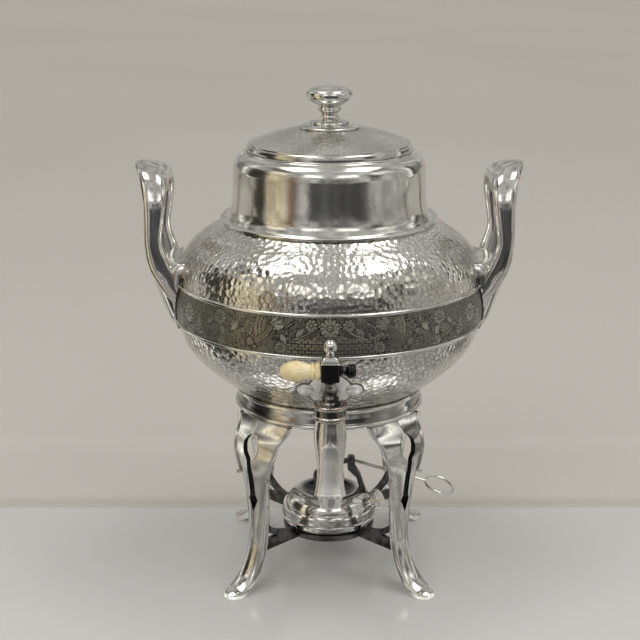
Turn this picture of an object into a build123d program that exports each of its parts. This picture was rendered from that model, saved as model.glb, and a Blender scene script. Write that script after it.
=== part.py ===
"""Silver-plated hot water urn with a spirit lamp stand, as separate pieces.

Millimetres, +Z up. The origin lies on the urn's vertical axis, on the table.
The tap faces -Y and the two handles stand at -X and +X.
"""

import os
from math import cos, hypot, radians, sin

from build123d import *

os.makedirs("parts", exist_ok=True)

# Fits between pieces that come apart or turn
lift_gap = 0.3
running_gap = 0.08

# Urn body: a flattened globe of thin sheet
wall = 1.6
bottom_z = 158.0
belly_r = 127.6
belly_z = 237.0
bottom_shape = (
    # share of the belly's radius, height above the bottom
    (0.439, 0.0),
    (0.525, 1.1),
    (0.592, 4.0),
    (0.658, 9.2),
    (0.737, 17.2),
    (0.815, 25.6),
    (0.8895, 35.2),
    (0.948, 46.5),
)

# Engraved band round the belly, with a moulding above and below
band_bottom_z = 222.0
band_top_z = 254.5
band_proud = 0.9
bead_r = 1.5
bead_seat = 0.5
shoulder_z = band_top_z + 48.0

# Lid's dome, which sets the opening and the neck round it
dome_r = 65.7
dome_rise = 13.2
lid_edge_r = dome_r + 1.6
lid_wall = 1.3

# Neck and the opening that the lid closes
mouth_r = dome_r + 0.6
ledge_r = mouth_r + 3.0
ledge_rise = 1.6
neck_r = ledge_r + 10.1
neck_top_z = shoulder_z + 55.7
neck_flare_r = neck_r + 4.9
neck_rim_r = neck_flare_r + 5.7
neck_rim_height = 3.2
neck_roll = 12.0
shoulder_r = neck_rim_r - 2.0

# Lid: a plain edge, a flange and a turned knob
dome_edge_z = neck_top_z + 7.6
flange_depth = 11.0
vent_r = 1.25
vent_place_r = 29.0
plate_r = 25.2
plate_height = 3.4
knob_r = 18.9
knob_height = 30.0
knob_foot_r = 16.2
knob_waist_r = 7.0
knob_screw_r = 2.5
nut_across = 10.0
nut_height = 4.0

# Foot rim of the urn and the stand ring that takes it
foot_rim_r = 0.587 * belly_r
foot_rim_wall = 2.0
foot_rim_bottom_z = 152.3
ring_wall = 2.2
ring_bottom_z = 145.4
ring_top_z = 162.2
ledge_width = 7.0
ledge_height = 2.2

# Legs: bent sheet with a ridge, pierced near the top, ending in an outward foot
slot_half = 2.9
drop_half = 8.7
drop_z = 126.0
drop_top_z = 136.5
slot_top_z = 115.5
slot_bottom_z = 84.0
spade_half = 4.8
spade_z = 79.5
spade_tip_z = 69.0

# Cradle under the urn that holds the lamp
cradle_bottom_z = 29.8
cradle_height = 5.0
cradle_ring_r = 39.4
cradle_hole_r = 33.0
arm_width = 4.0
arm_foot_r = foot_rim_r + 11.1
arm_top_z = 66.0

# Spirit lamp
lamp_r = 40.6
lamp_spigot_depth = 3.0
lamp_pan_top_z = 48.6
lamp_wall = 1.2
lamp_dome_r = 37.0
lamp_crest_z = 63.5
lamp_bead_r = 1.4
wick_tube_r = 5.5
wick_tube_top_z = 72.0
wick_r = 3.6
wick_top_z = 73.6
filler_angle = -14.0
filler_tilt = 30.0
filler_r = 4.6
filler_base_r = 28.0
filler_base_z = 48.0
filler_reach = 19.5
cap_r = 8.6
cap_height = 6.4

# Snuffer: a cap over the wick on a pivoted lever with a wire ring
pivot_x = 19.5
pivot_z = 89.5
pin_r = 1.3
snuffer_r = 13.5
snuffer_bottom_z = 69.6
snuffer_height = 11.4
lever_drop = 17.3
rod_length = 67.6
rod_r = 1.35
loop_r = 12.6
loop_wire_r = 1.1
loop_lean = 10.0

# Tap with its turning key, in front of the belly
tap_y = -belly_r - 24.4
tap_axis_z = 186.0
rim_r = 13.3
rim_z = 195.6
housing_bottom_z = 183.4
plug_top_r = 7.8
plug_bottom_r = 6.2
plug_bottom_z = 171.0
chamber_depth = 5.0
port_r = 3.6
barrel_r = 8.4
shank_r = 6.0
bore_r = 3.6
tap_nut_across = 17.0
tap_nut_height = 5.0
washer_face_y = 37.1 - belly_r
rosette_r = 21.0
rosette_lobe_r = 9.5
rosette_thick = 3.0
nozzle_r = 7.4
outlet_r = 4.2
nozzle_y = tap_y - 18.5
nozzle_z = 118.5
key_z = 220.2
block_size = 13.8
key_stem_r = 4.4
grip_length = 30.5
grip_r = 7.9
grip_pin_r = 1.6
button_reach = 19.2
ball_r = 5.2
ball_z = 239.0

# Handles: upright loops, front to back, rising from a shield on the belly
limb_sections = (
    # centre: distance past the belly's radius, y, z; then width, thickness and lean
    (-4.6, -29.0, 244.0, 15.0, 11.0, 38.0),
    (3.4, -31.0, 258.0, 17.0, 11.0, 28.0),
    (9.8, -33.5, 271.5, 17.0, 11.0, 16.0),
    (13.9, -35.5, 289.0, 13.6, 10.5, 2.0),
    (12.7, -36.0, 307.0, 15.6, 10.0, -3.0),
    (11.6, -34.0, 324.0, 18.6, 10.0, 0.0),
    (13.4, -22.0, 340.0, 22.0, 10.0, 8.0),
    (15.8, 0.0, 345.4, 29.5, 9.0, 14.0),
)
shield_sections = (
    # height, distance of the outer face past the belly's radius, half width
    (212.5, 1.8, 12.0),
    (222.0, 6.8, 22.0),
    (236.0, 12.2, 31.0),
    (250.0, 17.4, 36.0),
    (260.0, 18.0, 37.5),
    (268.0, 11.4, 31.0),
)
shield_depth = 9.6

# Values that follow from the ones above
neck_base_z = shoulder_z + neck_rim_height
ledge_z = neck_top_z + ledge_rise
lid_bottom_z = ledge_z + lift_gap
dome_top_z = dome_edge_z + dome_rise
ring_inner_r = foot_rim_r + lift_gap
ring_outer_r = ring_inner_r + ring_wall
seat_z = foot_rim_bottom_z - lift_gap
lamp_bottom_z = cradle_bottom_z + cradle_height + lift_gap
loop_x = rod_length + loop_r
arm_inner_r = lamp_r + 0.8


def shifted(points, distance):
    """Move each point of an open outline to the left of its direction."""
    moved = []
    for i, (x, y) in enumerate(points):
        x0, y0 = points[max(i - 1, 0)]
        x1, y1 = points[min(i + 1, len(points) - 1)]
        length = hypot(x1 - x0, y1 - y0)
        moved.append((x - (y1 - y0) / length * distance, y + (x1 - x0) / length * distance))
    return moved


def turned(outline):
    """Solid of revolution about Z from a closed polyline of (radius, z) points."""
    with BuildPart() as solid:
        with BuildSketch(Plane.XZ):
            with BuildLine():
                Polyline(*outline, close=True)
            make_face()
        revolve(axis=Axis.Z)
    return solid.part


def bead(radius, z, section_r, foot_r):
    """Half-round moulding that stands on a wall of radius foot_r."""
    with BuildPart() as solid:
        with BuildSketch(Plane.XZ):
            with Locations((radius, z)):
                Circle(section_r)
            with Locations((foot_r / 2, z)):
                Rectangle(foot_r, 3 * section_r, mode=Mode.SUBTRACT)
        revolve(axis=Axis.Z)
    return solid.part


def write(piece, name):
    """Label a finished piece and write its file."""
    piece.label = name
    export_step(piece, f"parts/{name}.step")


# Belly outline from the flat bottom up to the neck
belly_line = [
    *((share * belly_r, bottom_z + rise) for share, rise in bottom_shape),
    (belly_r - 1.8, band_bottom_z - 3.0),
    (belly_r, belly_z),
    (belly_r - 2.2, band_top_z),
    (belly_r - 4.6, shoulder_z - 34.0),
    (shoulder_r + 28.2, shoulder_z - 21.4),
    (shoulder_r + 17.0, shoulder_z - 11.8),
    (shoulder_r + 6.8, shoulder_z - 5.2),
    (shoulder_r, shoulder_z),
]
inside_line = shifted(belly_line, wall)


def belly_solid(extra=0.0):
    """The belly as a filled body, grown outward by extra."""
    line = shifted(belly_line, -extra)
    with BuildPart() as solid:
        with BuildSketch(Plane.XZ):
            with BuildLine():
                Spline(*line)
                Polyline(line[-1], (0, line[-1][1]), (0, line[0][1]), line[0])
            make_face()
        revolve(axis=Axis.Z)
    return solid.part


# Urn shell in two halves that meet under the band; the lower one has the hole for the tap's shank
with BuildPart() as shell:
    with BuildSketch(Plane.XZ):
        with BuildLine():
            Spline(*belly_line)
            Line(belly_line[-1], inside_line[-1])
            Spline(*inside_line[::-1])
            Polyline(
                inside_line[0],
                (0, bottom_z + wall),
                (0, bottom_z),
                belly_line[0],
            )
        make_face()
    revolve(axis=Axis.Z)
    with BuildSketch(Plane.XZ.offset(-washer_face_y)):
        with Locations((0, tap_axis_z)):
            Circle(shank_r)
    extrude(amount=belly_r + washer_face_y, mode=Mode.SUBTRACT)
write(split(shell.part, bisect_by=Plane.XY.offset(belly_z), keep=Keep.BOTTOM), "urn_bowl")
write(split(shell.part, bisect_by=Plane.XY.offset(belly_z), keep=Keep.TOP), "urn_shoulder")

# Band, engraved on the real urn, lying on the belly between its mouldings
with BuildPart() as belly_band:
    add(belly_solid(band_proud))
    add(belly_solid(), mode=Mode.SUBTRACT)
    split(bisect_by=Plane.XY.offset(band_top_z - bead_r), keep=Keep.BOTTOM)
    split(bisect_by=Plane.XY.offset(band_bottom_z + bead_r), keep=Keep.TOP)
write(belly_band.part, "belly_band")

mouldings = []
for name, z, r, seat in (
    ("band_bead_upper", band_top_z, belly_r - 1.4, bead_seat),
    ("band_bead_lower", band_bottom_z, belly_r - 0.8, bead_seat / 4),
):
    write(bead(r, z, bead_r, r - seat), name)
    with BuildPart() as clearance:
        with BuildSketch(Plane.XZ):
            with Locations((r, z)):
                Circle(bead_r + 0.05)
        revolve(axis=Axis.Z)
    mouldings.append(clearance.part)

# Rim between belly and neck
with BuildPart() as neck_base_rim:
    with BuildSketch(Plane.XZ):
        with BuildLine():
            Polyline(
                (neck_rim_r - 1.6, shoulder_z),
                (neck_flare_r - 2.6, shoulder_z),
                (neck_flare_r - 2.6, neck_base_z),
                (neck_rim_r - 1.6, neck_base_z),
            )
            ThreePointArc(
                (neck_rim_r - 1.6, neck_base_z),
                (neck_rim_r, shoulder_z + neck_rim_height / 2),
                (neck_rim_r - 1.6, shoulder_z),
            )
        make_face()
    revolve(axis=Axis.Z)
write(neck_base_rim.part, "neck_base_rim")

# Neck, flared at the foot and rolled in at the top to a ledge for the lid
with BuildPart() as neck_collar:
    with BuildSketch(Plane.XZ):
        with BuildLine():
            l1 = Spline(
                (neck_flare_r, neck_base_z),
                (neck_r + 1.5, neck_base_z + 6.0),
                (neck_r, neck_base_z + 16.0),
                (neck_r - 1.0, neck_top_z - neck_roll),
            )
            l2 = ThreePointArc(
                l1 @ 1,
                (neck_r - 3.84, neck_top_z - 0.39 * neck_roll),
                (ledge_r, neck_top_z),
            )
            l3 = Polyline(
                l2 @ 1,
                (ledge_r - 0.8, ledge_z),
                (mouth_r, ledge_z),
                (mouth_r, ledge_z - 2.2),
                (ledge_r - 0.9, neck_top_z - wall),
            )
            l4 = ThreePointArc(
                l3 @ 1,
                (neck_r - 3.84 - 0.8 * wall, neck_top_z - 0.39 * neck_roll - 0.6 * wall),
                (neck_r - 1.0 - wall, neck_top_z - neck_roll),
            )
            l5 = Spline(
                l4 @ 1,
                (neck_r - wall, neck_base_z + 16.0),
                (neck_r + 1.5 - wall, neck_base_z + 6.0),
                (neck_flare_r - wall, neck_base_z),
            )
            Line(l5 @ 1, l1 @ 0)
        make_face()
    revolve(axis=Axis.Z)
write(neck_collar.part, "neck_collar")

# Foot rim under the belly, standing in the stand's ring
with BuildPart() as foot_rim:
    add(
        turned(
            [
                (foot_rim_r - foot_rim_wall, foot_rim_bottom_z),
                (foot_rim_r, foot_rim_bottom_z),
                (foot_rim_r, bottom_z + 6),
                (foot_rim_r - foot_rim_wall, bottom_z + 6),
            ]
        )
    )
    add(belly_solid(), mode=Mode.SUBTRACT)
write(foot_rim.part, "foot_rim")


def handle_solid():
    """Right-hand handle: a looped strap on a shield that clasps the belly."""
    back = [(x, -y, z, width, thick, tilt) for x, y, z, width, thick, tilt in limb_sections[:-1]]
    path = [*limb_sections, *back[::-1]]
    with BuildPart() as solid:
        for i, (x, y, z, width, thick, tilt) in enumerate(path):
            x0, y0, z0 = path[max(i - 1, 0)][:3]
            x1, y1, z1 = path[min(i + 1, len(path) - 1)][:3]
            along = Vector(x1 - x0, y1 - y0, z1 - z0)
            across = Vector(cos(radians(tilt)), 0, sin(radians(tilt)))
            across = across - along * (across.dot(along) / along.dot(along))
            with BuildSketch(Plane(origin=(belly_r + x, y, z), x_dir=across, z_dir=along)):
                Ellipse(width / 2, thick / 2)
        loft()
        for z, proud, half_width in shield_sections:
            with BuildSketch(Plane.XY.offset(z)):
                with Locations((belly_r - shield_depth, 0)):
                    Ellipse(proud + shield_depth, half_width)
        loft()
        add(belly_solid(), mode=Mode.SUBTRACT)
        add(belly_band.part, mode=Mode.SUBTRACT)
        for moulding in mouldings:
            add(moulding, mode=Mode.SUBTRACT)
    return solid.part.solids().sort_by(SortBy.VOLUME)[-1]


handle_right = handle_solid()
write(handle_right, "handle_right")
write(mirror(handle_right, about=Plane.YZ), "handle_left")

# Lid: plain stepped edge
with BuildPart() as lid_edge:
    with BuildSketch(Plane.XZ):
        with BuildLine():
            l1 = Polyline(
                (dome_r - lid_wall, dome_edge_z),
                (dome_r, dome_edge_z),
                (dome_r + 0.2, dome_edge_z - 1.2),
            )
            l2 = ThreePointArc(
                l1 @ 1,
                (lid_edge_r, lid_bottom_z + 2.4),
                (lid_edge_r + 0.3, lid_bottom_z),
            )
            Polyline(
                l2 @ 1,
                (mouth_r - lift_gap - 1.0, lid_bottom_z),
                (mouth_r - lift_gap - 1.0, dome_edge_z),
                l1 @ 0,
            )
        make_face()
    revolve(axis=Axis.Z)
write(lid_edge.part, "lid_edge")

# Flange that drops into the mouth
flange_r = mouth_r - lift_gap
with BuildPart() as lid_flange:
    with BuildSketch(Plane.XZ):
        with Locations((flange_r - lid_wall / 2, lid_bottom_z - flange_depth / 2)):
            Rectangle(lid_wall, flange_depth)
    revolve(axis=Axis.Z)
write(lid_flange.part, "lid_flange")

# Hammered dome with its steam vent and the hole for the knob's screw
dome_ball_r = (dome_r**2 + dome_rise**2) / (2 * dome_rise)


def dome_height(radius):
    """Height of the dome's outer face at a radius."""
    return dome_top_z - dome_ball_r + (dome_ball_r**2 - radius**2) ** 0.5


with BuildPart() as lid_dome:
    with BuildSketch(Plane.XZ):
        with BuildLine():
            ThreePointArc(
                (knob_screw_r, dome_height(knob_screw_r)),
                (dome_r / 2, dome_height(dome_r / 2)),
                (dome_r, dome_edge_z),
            )
            Line((dome_r, dome_edge_z), (dome_r - lid_wall * 3, dome_edge_z))
            ThreePointArc(
                (dome_r - lid_wall * 3, dome_edge_z),
                (dome_r / 2, dome_height(dome_r / 2) - lid_wall),
                (knob_screw_r, dome_height(knob_screw_r) - lid_wall),
            )
            Line(
                (knob_screw_r, dome_height(knob_screw_r) - lid_wall),
                (knob_screw_r, dome_height(knob_screw_r)),
            )
        make_face()
    revolve(axis=Axis.Z)
    with BuildSketch(Plane.XY.offset(dome_edge_z)):
        with Locations((0, -vent_place_r)):
            Circle(vent_r)
    extrude(amount=2 * dome_rise, mode=Mode.SUBTRACT)
write(lid_dome.part, "lid_dome")

# Knob: a round plate, then the turned knob on its screw, and the nut inside
plate_top_z = dome_top_z + 1.6
with BuildPart() as knob_plate:
    with BuildSketch(Plane.XZ):
        with BuildLine():
            ThreePointArc(
                (knob_screw_r, dome_height(knob_screw_r)),
                (plate_r / 2, dome_height(plate_r / 2)),
                (plate_r - 1.0, dome_height(plate_r - 1.0)),
            )
            l1 = Polyline(
                (plate_r - 1.0, dome_height(plate_r - 1.0)),
                (plate_r, dome_height(plate_r) + 0.9),
                (plate_r - 0.6, dome_height(plate_r) + 1.9),
            )
            Polyline(
                l1 @ 1,
                (knob_foot_r + 2.0, plate_top_z - 0.2),
                (knob_foot_r, plate_top_z),
                (knob_screw_r, plate_top_z),
                (knob_screw_r, dome_height(knob_screw_r)),
            )
        make_face()
    revolve(axis=Axis.Z)
write(knob_plate.part, "knob_plate")

with BuildPart() as lid_knob:
    with BuildSketch(Plane.XZ):
        with BuildLine():
            l1 = Polyline(
                (0, dome_top_z - lid_wall - nut_height - 1.0),
                (knob_screw_r, dome_top_z - lid_wall - nut_height - 1.0),
                (knob_screw_r, plate_top_z),
                (knob_foot_r - 0.4, plate_top_z),
                (knob_foot_r, plate_top_z + 0.9),
                (knob_foot_r - 0.5, plate_top_z + 1.8),
            )
            l2 = Spline(
                l1 @ 1,
                (knob_waist_r + 2.8, plate_top_z + 3.4),
                (knob_waist_r, plate_top_z + 6.4),
                (knob_waist_r + 0.4, plate_top_z + 9.4),
            )
            l3 = Polyline(
                l2 @ 1,
                (knob_waist_r + 1.9, plate_top_z + 10.2),
                (knob_waist_r + 2.6, plate_top_z + 11.6),
                (knob_waist_r + 1.9, plate_top_z + 13.0),
                (knob_waist_r + 1.8, plate_top_z + 14.2),
            )
            l4 = Spline(
                l3 @ 1,
                (knob_r - 4.6, plate_top_z + 17.3),
                (knob_r, plate_top_z + knob_height - 6.2),
                (knob_r - 6.0, plate_top_z + knob_height - 1.6),
                (0, plate_top_z + knob_height),
                tangents=[(1, 0.35), (-1, 0)],
            )
            Line(l4 @ 1, l1 @ 0)
        make_face()
    revolve(axis=Axis.Z)
write(lid_knob.part, "lid_knob")

with BuildPart() as knob_nut:
    with BuildSketch(Plane.XY.offset(dome_height(nut_across) - lid_wall)):
        RegularPolygon(nut_across / 2, 6, major_radius=False)
        Circle(knob_screw_r, mode=Mode.SUBTRACT)
    extrude(amount=-nut_height)
write(knob_nut.part, "knob_nut")

# Stand ring with its mouldings and the ledge that the foot rim rests on
with BuildPart() as stand_ring:
    add(
        turned(
            [
                (ring_inner_r, ring_bottom_z),
                (ring_outer_r, ring_bottom_z),
                (ring_outer_r - 0.8, (ring_bottom_z + ring_top_z) / 2),
                (ring_outer_r, ring_top_z),
                (ring_inner_r, ring_top_z),
            ]
        )
    )
    add(belly_solid(lift_gap), mode=Mode.SUBTRACT)
write(stand_ring.part, "stand_ring")

seat_ledge = turned(
    [
        (ring_inner_r - ledge_width, seat_z - ledge_height),
        (ring_inner_r, seat_z - ledge_height),
        (ring_inner_r, seat_z),
        (ring_inner_r - ledge_width, seat_z),
    ]
)
write(seat_ledge, "seat_ledge")

for name, z, r, section_r in (
    ("ring_bead_upper", ring_top_z - 2.0, ring_outer_r - 0.1, 1.8),
    ("ring_bead_lower", ring_bottom_z + 2.2, ring_outer_r + 0.3, 2.1),
):
    with BuildPart() as ring_bead:
        with BuildSketch(Plane.XZ):
            with Locations((r, z)):
                Circle(section_r)
        revolve(axis=Axis.Z)
        add(stand_ring.part, mode=Mode.SUBTRACT)
        with BuildSketch(Plane.XY.offset(z - 2 * section_r)):
            Circle(ring_inner_r + 0.5)
        extrude(amount=4 * section_r, mode=Mode.SUBTRACT)
        add(belly_solid(lift_gap), mode=Mode.SUBTRACT)
    write(ring_bead.part, name)


# Legs, built on the +X side and turned to the corners
leg_sections = (
    # side edges past the ring's radius, height, half width, ridge, fold, thickness, tilt
    (-1.8, ring_bottom_z, 30.0, 3.2, 3.2, 4.2, 0.0),
    (1.0, 138.0, 27.4, 7.0, 7.0, 4.2, 0.0),
    (7.0, 130.0, 24.2, 7.4, 7.4, 4.2, 0.0),
    (10.0, 120.0, 22.8, 5.6, 5.6, 4.2, 0.0),
    (10.8, 108.0, 18.2, 4.4, 4.4, 4.2, 0.0),
    (9.6, 92.0, 14.0, 3.2, 3.0, 4.6, 0.0),
    (8.6, 74.0, 11.2, 2.6, 1.6, 6.3, 0.0),
    (9.0, 55.0, 9.2, 2.6, 0.8, 7.5, 0.0),
    (10.2, 40.0, 8.7, 2.4, 0.1, 7.5, 10.0),
    (14.2, 26.0, 8.6, 2.2, 0.1, 7.1, 24.0),
    (21.6, 13.6, 8.9, 2.0, 0.1, 6.8, 48.0),
    (31.2, 6.2, 9.0, 1.6, 0.1, 6.8, 76.0),
    (40.4, 5.2, 6.2, 1.2, 0.1, 5.9, 94.0),
)


def leg_solid():
    """One leg, standing out along +X."""
    with BuildPart() as solid:
        for r, z, half, ridge, fold, thick, tilt in leg_sections:
            out = Vector(cos(radians(tilt)), 0, sin(radians(tilt)))
            down = Vector(sin(radians(tilt)), 0, -cos(radians(tilt)))
            with BuildSketch(Plane(origin=(ring_outer_r + r, 0, z), x_dir=out, z_dir=down)):
                with BuildLine():
                    Polyline(
                        (0, half),
                        (ridge, 0),
                        (0, -half),
                        (-thick, -half * 0.86),
                        (fold - thick, 0),
                        (-thick, half * 0.86),
                        close=True,
                    )
                make_face()
        loft(ruled=True)
        split(bisect_by=Plane.XY, keep=Keep.TOP)
        with BuildSketch(Plane.YZ.offset(arm_inner_r)):
            with BuildLine():
                l1 = ThreePointArc(
                    (-drop_half, drop_z),
                    (0, drop_top_z),
                    (drop_half, drop_z),
                )
                l2 = Polyline(
                    l1 @ 1,
                    (slot_half, slot_top_z),
                    (slot_half, slot_bottom_z),
                    (spade_half, spade_z),
                    (0, spade_tip_z),
                    (-spade_half, spade_z),
                    (-slot_half, slot_bottom_z),
                    (-slot_half, slot_top_z),
                    l1 @ 0,
                )
            make_face()
        extrude(amount=2 * arm_inner_r, mode=Mode.SUBTRACT)
    return solid.part


leg = leg_solid()
leg_places = {"front_left": 225, "front_right": 315, "back_right": 45, "back_left": 135}
for place, angle in leg_places.items():
    write(leg.rotate(Axis.Z, angle), f"leg_{place}")

# Cradle: a ring for the lamp on four forked arms between the legs
cradle_ring = turned(
    [
        (cradle_hole_r, cradle_bottom_z),
        (cradle_ring_r, cradle_bottom_z),
        (cradle_ring_r, cradle_bottom_z + cradle_height),
        (cradle_hole_r, cradle_bottom_z + cradle_height),
    ]
)
write(cradle_ring, "cradle_ring")


def arm_solid():
    """One forked arm along +X, from the lamp ring to the inside of a leg."""
    with BuildPart() as solid:
        with BuildSketch(Plane.XZ.offset(-arm_width / 2)):
            with BuildLine():
                l1 = Polyline(
                    (cradle_ring_r - 3.0, cradle_bottom_z + cradle_height),
                    (cradle_ring_r - 3.0, cradle_bottom_z),
                    (arm_foot_r, cradle_bottom_z),
                    (arm_foot_r, arm_top_z),
                )
                l2 = Spline(
                    l1 @ 1,
                    (arm_foot_r - 8.0, arm_top_z - 9.0),
                    (arm_foot_r - 20.0, arm_top_z - 19.5),
                    (arm_foot_r - 32.0, arm_top_z - 24.4),
                    (arm_inner_r, arm_top_z - 26.0),
                )
                Polyline(
                    l2 @ 1,
                    (arm_inner_r, cradle_bottom_z + cradle_height),
                    l1 @ 0,
                )
            make_face()
            with BuildLine():
                Polyline(
                    (arm_foot_r + 1.0, cradle_bottom_z + 6.4),
                    (arm_foot_r + 1.0, arm_top_z - 12.0),
                    (arm_foot_r - 11.0, arm_top_z - 20.0),
                    (arm_foot_r - 22.0, arm_top_z - 26.4),
                    close=True,
                )
            make_face(mode=Mode.SUBTRACT)
        extrude(amount=arm_width)
        add(cradle_ring, mode=Mode.SUBTRACT)
        add(leg, mode=Mode.SUBTRACT)
    return solid.part.solids().sort_by(SortBy.VOLUME)[-1]


arm = arm_solid()
for place, angle in leg_places.items():
    write(arm.rotate(Axis.Z, angle), f"cradle_arm_{place}")

# Lamp: a pan with a spigot in the cradle's ring, and a domed cover
spigot_r = cradle_hole_r - lift_gap
pan_r = lamp_r - lamp_bead_r + 0.2
spigot_z = lamp_bottom_z - lamp_spigot_depth
lamp_pan = turned(
    [
        (0, spigot_z),
        (spigot_r, spigot_z),
        (spigot_r, lamp_bottom_z),
        (pan_r - 1.4, lamp_bottom_z),
        (pan_r, lamp_bottom_z + 2.6),
        (pan_r, lamp_pan_top_z),
        (pan_r - lamp_wall, lamp_pan_top_z),
        (pan_r - lamp_wall, lamp_bottom_z + 3.2),
        (pan_r - 2.2, lamp_bottom_z + lamp_wall),
        (spigot_r - lamp_wall, lamp_bottom_z + lamp_wall),
        (spigot_r - lamp_wall, spigot_z + lamp_wall),
        (0, spigot_z + lamp_wall),
    ]
)
write(lamp_pan, "lamp_pan")

lamp_rim = bead(pan_r, lamp_bottom_z + 6.6, lamp_bead_r, pan_r)
write(lamp_rim, "lamp_rim")

dome_line = [
    (lamp_dome_r, lamp_pan_top_z + 1.6),
    (lamp_dome_r - 0.6, lamp_pan_top_z + 5.4),
    (lamp_dome_r - 3.4, lamp_pan_top_z + 10.4),
    (lamp_dome_r - 9.0, lamp_crest_z - 0.8),
    (lamp_dome_r - 14.5, lamp_crest_z),
    (wick_tube_r + 12.0, lamp_crest_z - 2.4),
    (wick_tube_r + 6.0, lamp_crest_z - 4.0),
    (wick_tube_r, lamp_crest_z - 4.2),
]
filler_plane = Plane(
    origin=(
        filler_base_r * cos(radians(filler_angle)),
        filler_base_r * sin(radians(filler_angle)),
        filler_base_z,
    ),
    z_dir=(
        cos(radians(filler_tilt)) * cos(radians(filler_angle)),
        cos(radians(filler_tilt)) * sin(radians(filler_angle)),
        sin(radians(filler_tilt)),
    ),
)
with BuildPart() as lamp_dome:
    with BuildSketch(Plane.XZ):
        with BuildLine():
            under = shifted(dome_line, lamp_wall)
            Spline(*dome_line)
            Line(dome_line[-1], (wick_tube_r, under[-1][1]))
            Line((wick_tube_r, under[-1][1]), under[-1])
            Spline(*under[::-1])
            Polyline(
                under[0],
                (under[0][0], lamp_pan_top_z),
                (pan_r, lamp_pan_top_z),
                (pan_r, lamp_pan_top_z + 1.6),
                dome_line[0],
            )
        make_face()
    revolve(axis=Axis.Z)
    with BuildSketch(filler_plane):
        Circle(filler_r)
    extrude(amount=filler_reach, mode=Mode.SUBTRACT)
write(lamp_dome.part, "lamp_dome")

# Filler neck on the lamp's right, with its knurled cap
with BuildPart() as filler_neck:
    with BuildSketch(filler_plane.offset(4.0)):
        Circle(filler_r)
        Circle(filler_r - 1.0, mode=Mode.SUBTRACT)
    extrude(amount=filler_reach - 4.0)
write(filler_neck.part, "filler_neck")

cap_top = filler_reach + lift_gap + 1.4
with BuildPart() as filler_cap:
    with BuildSketch(filler_plane.offset(cap_top - cap_height)):
        Circle(cap_r)
    extrude(amount=cap_height)
    filler_axis = Axis(filler_plane.origin, filler_plane.z_dir)
    fillet(filler_cap.edges().group_by(filler_axis)[-1], 1.2)
    with BuildSketch(filler_plane.offset(cap_top - cap_height)):
        Circle(filler_r + lift_gap)
    extrude(amount=cap_height - 1.4, mode=Mode.SUBTRACT)
write(filler_cap.part, "filler_cap")

# Wick in its tube
tube_bottom_z = lamp_crest_z - 16.0
with BuildPart() as wick_tube:
    with BuildSketch(Plane.XY.offset(tube_bottom_z)):
        Circle(wick_tube_r)
        Circle(wick_r, mode=Mode.SUBTRACT)
    extrude(amount=wick_tube_top_z - tube_bottom_z)
write(wick_tube.part, "wick_tube")

with BuildPart() as wick:
    with BuildSketch(Plane.XY.offset(tube_bottom_z - 6.0)):
        Circle(wick_r)
    extrude(amount=wick_top_z - tube_bottom_z + 6.0)
    fillet(wick.edges().group_by(Axis.Z)[-1], 1.0)
write(wick.part, "wick")

# Bracket that carries the snuffer's pivot, forked round the lever
fork_half = 4.6
lever_half = 2.2
bracket_foot_x = 30.0
slot_depth = 19.0
with BuildPart() as lever_bracket:
    with BuildSketch(Plane.XZ.offset(-fork_half)):
        with BuildLine():
            Polyline(
                (bracket_foot_x - 2.0, dome_line[3][1] - 4.0),
                (bracket_foot_x + 3.0, dome_line[3][1] - 4.0),
                (bracket_foot_x - 2.4, pivot_z - 14.0),
                (pivot_x + 3.2, pivot_z - 6.0),
                (pivot_x + 3.2, pivot_z + 1.4),
                (pivot_x + 1.6, pivot_z + 3.0),
                (pivot_x - 1.6, pivot_z + 3.0),
                (pivot_x - 3.2, pivot_z + 1.4),
                (pivot_x - 3.2, pivot_z - 7.6),
                (bracket_foot_x - 6.0, pivot_z - 15.4),
                close=True,
            )
        make_face()
    extrude(amount=2 * fork_half)
    add(lamp_dome.part, mode=Mode.SUBTRACT)
    with BuildSketch(Plane.XZ.offset(-lever_half - running_gap)):
        with Locations((pivot_x, pivot_z)):
            Rectangle(16, slot_depth)
    extrude(amount=2 * (lever_half + running_gap), mode=Mode.SUBTRACT)
    with BuildSketch(Plane.XZ.offset(-fork_half)):
        with Locations((pivot_x, pivot_z)):
            Circle(pin_r)
    extrude(amount=2 * fork_half, mode=Mode.SUBTRACT)
write(lever_bracket.part.solids().sort_by(SortBy.VOLUME)[-1], "lever_bracket")

with BuildPart() as hinge_pin:
    with BuildSketch(Plane.XZ.offset(-fork_half)):
        with Locations((pivot_x, pivot_z)):
            Circle(pin_r)
    extrude(amount=2 * fork_half)
    for side in (-1, 1):
        with BuildSketch(Plane.XZ.offset(side * fork_half)):
            with Locations((pivot_x, pivot_z)):
                Circle(pin_r + 0.9)
        extrude(amount=side * 0.9)
write(hinge_pin.part, "hinge_pin")

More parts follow.
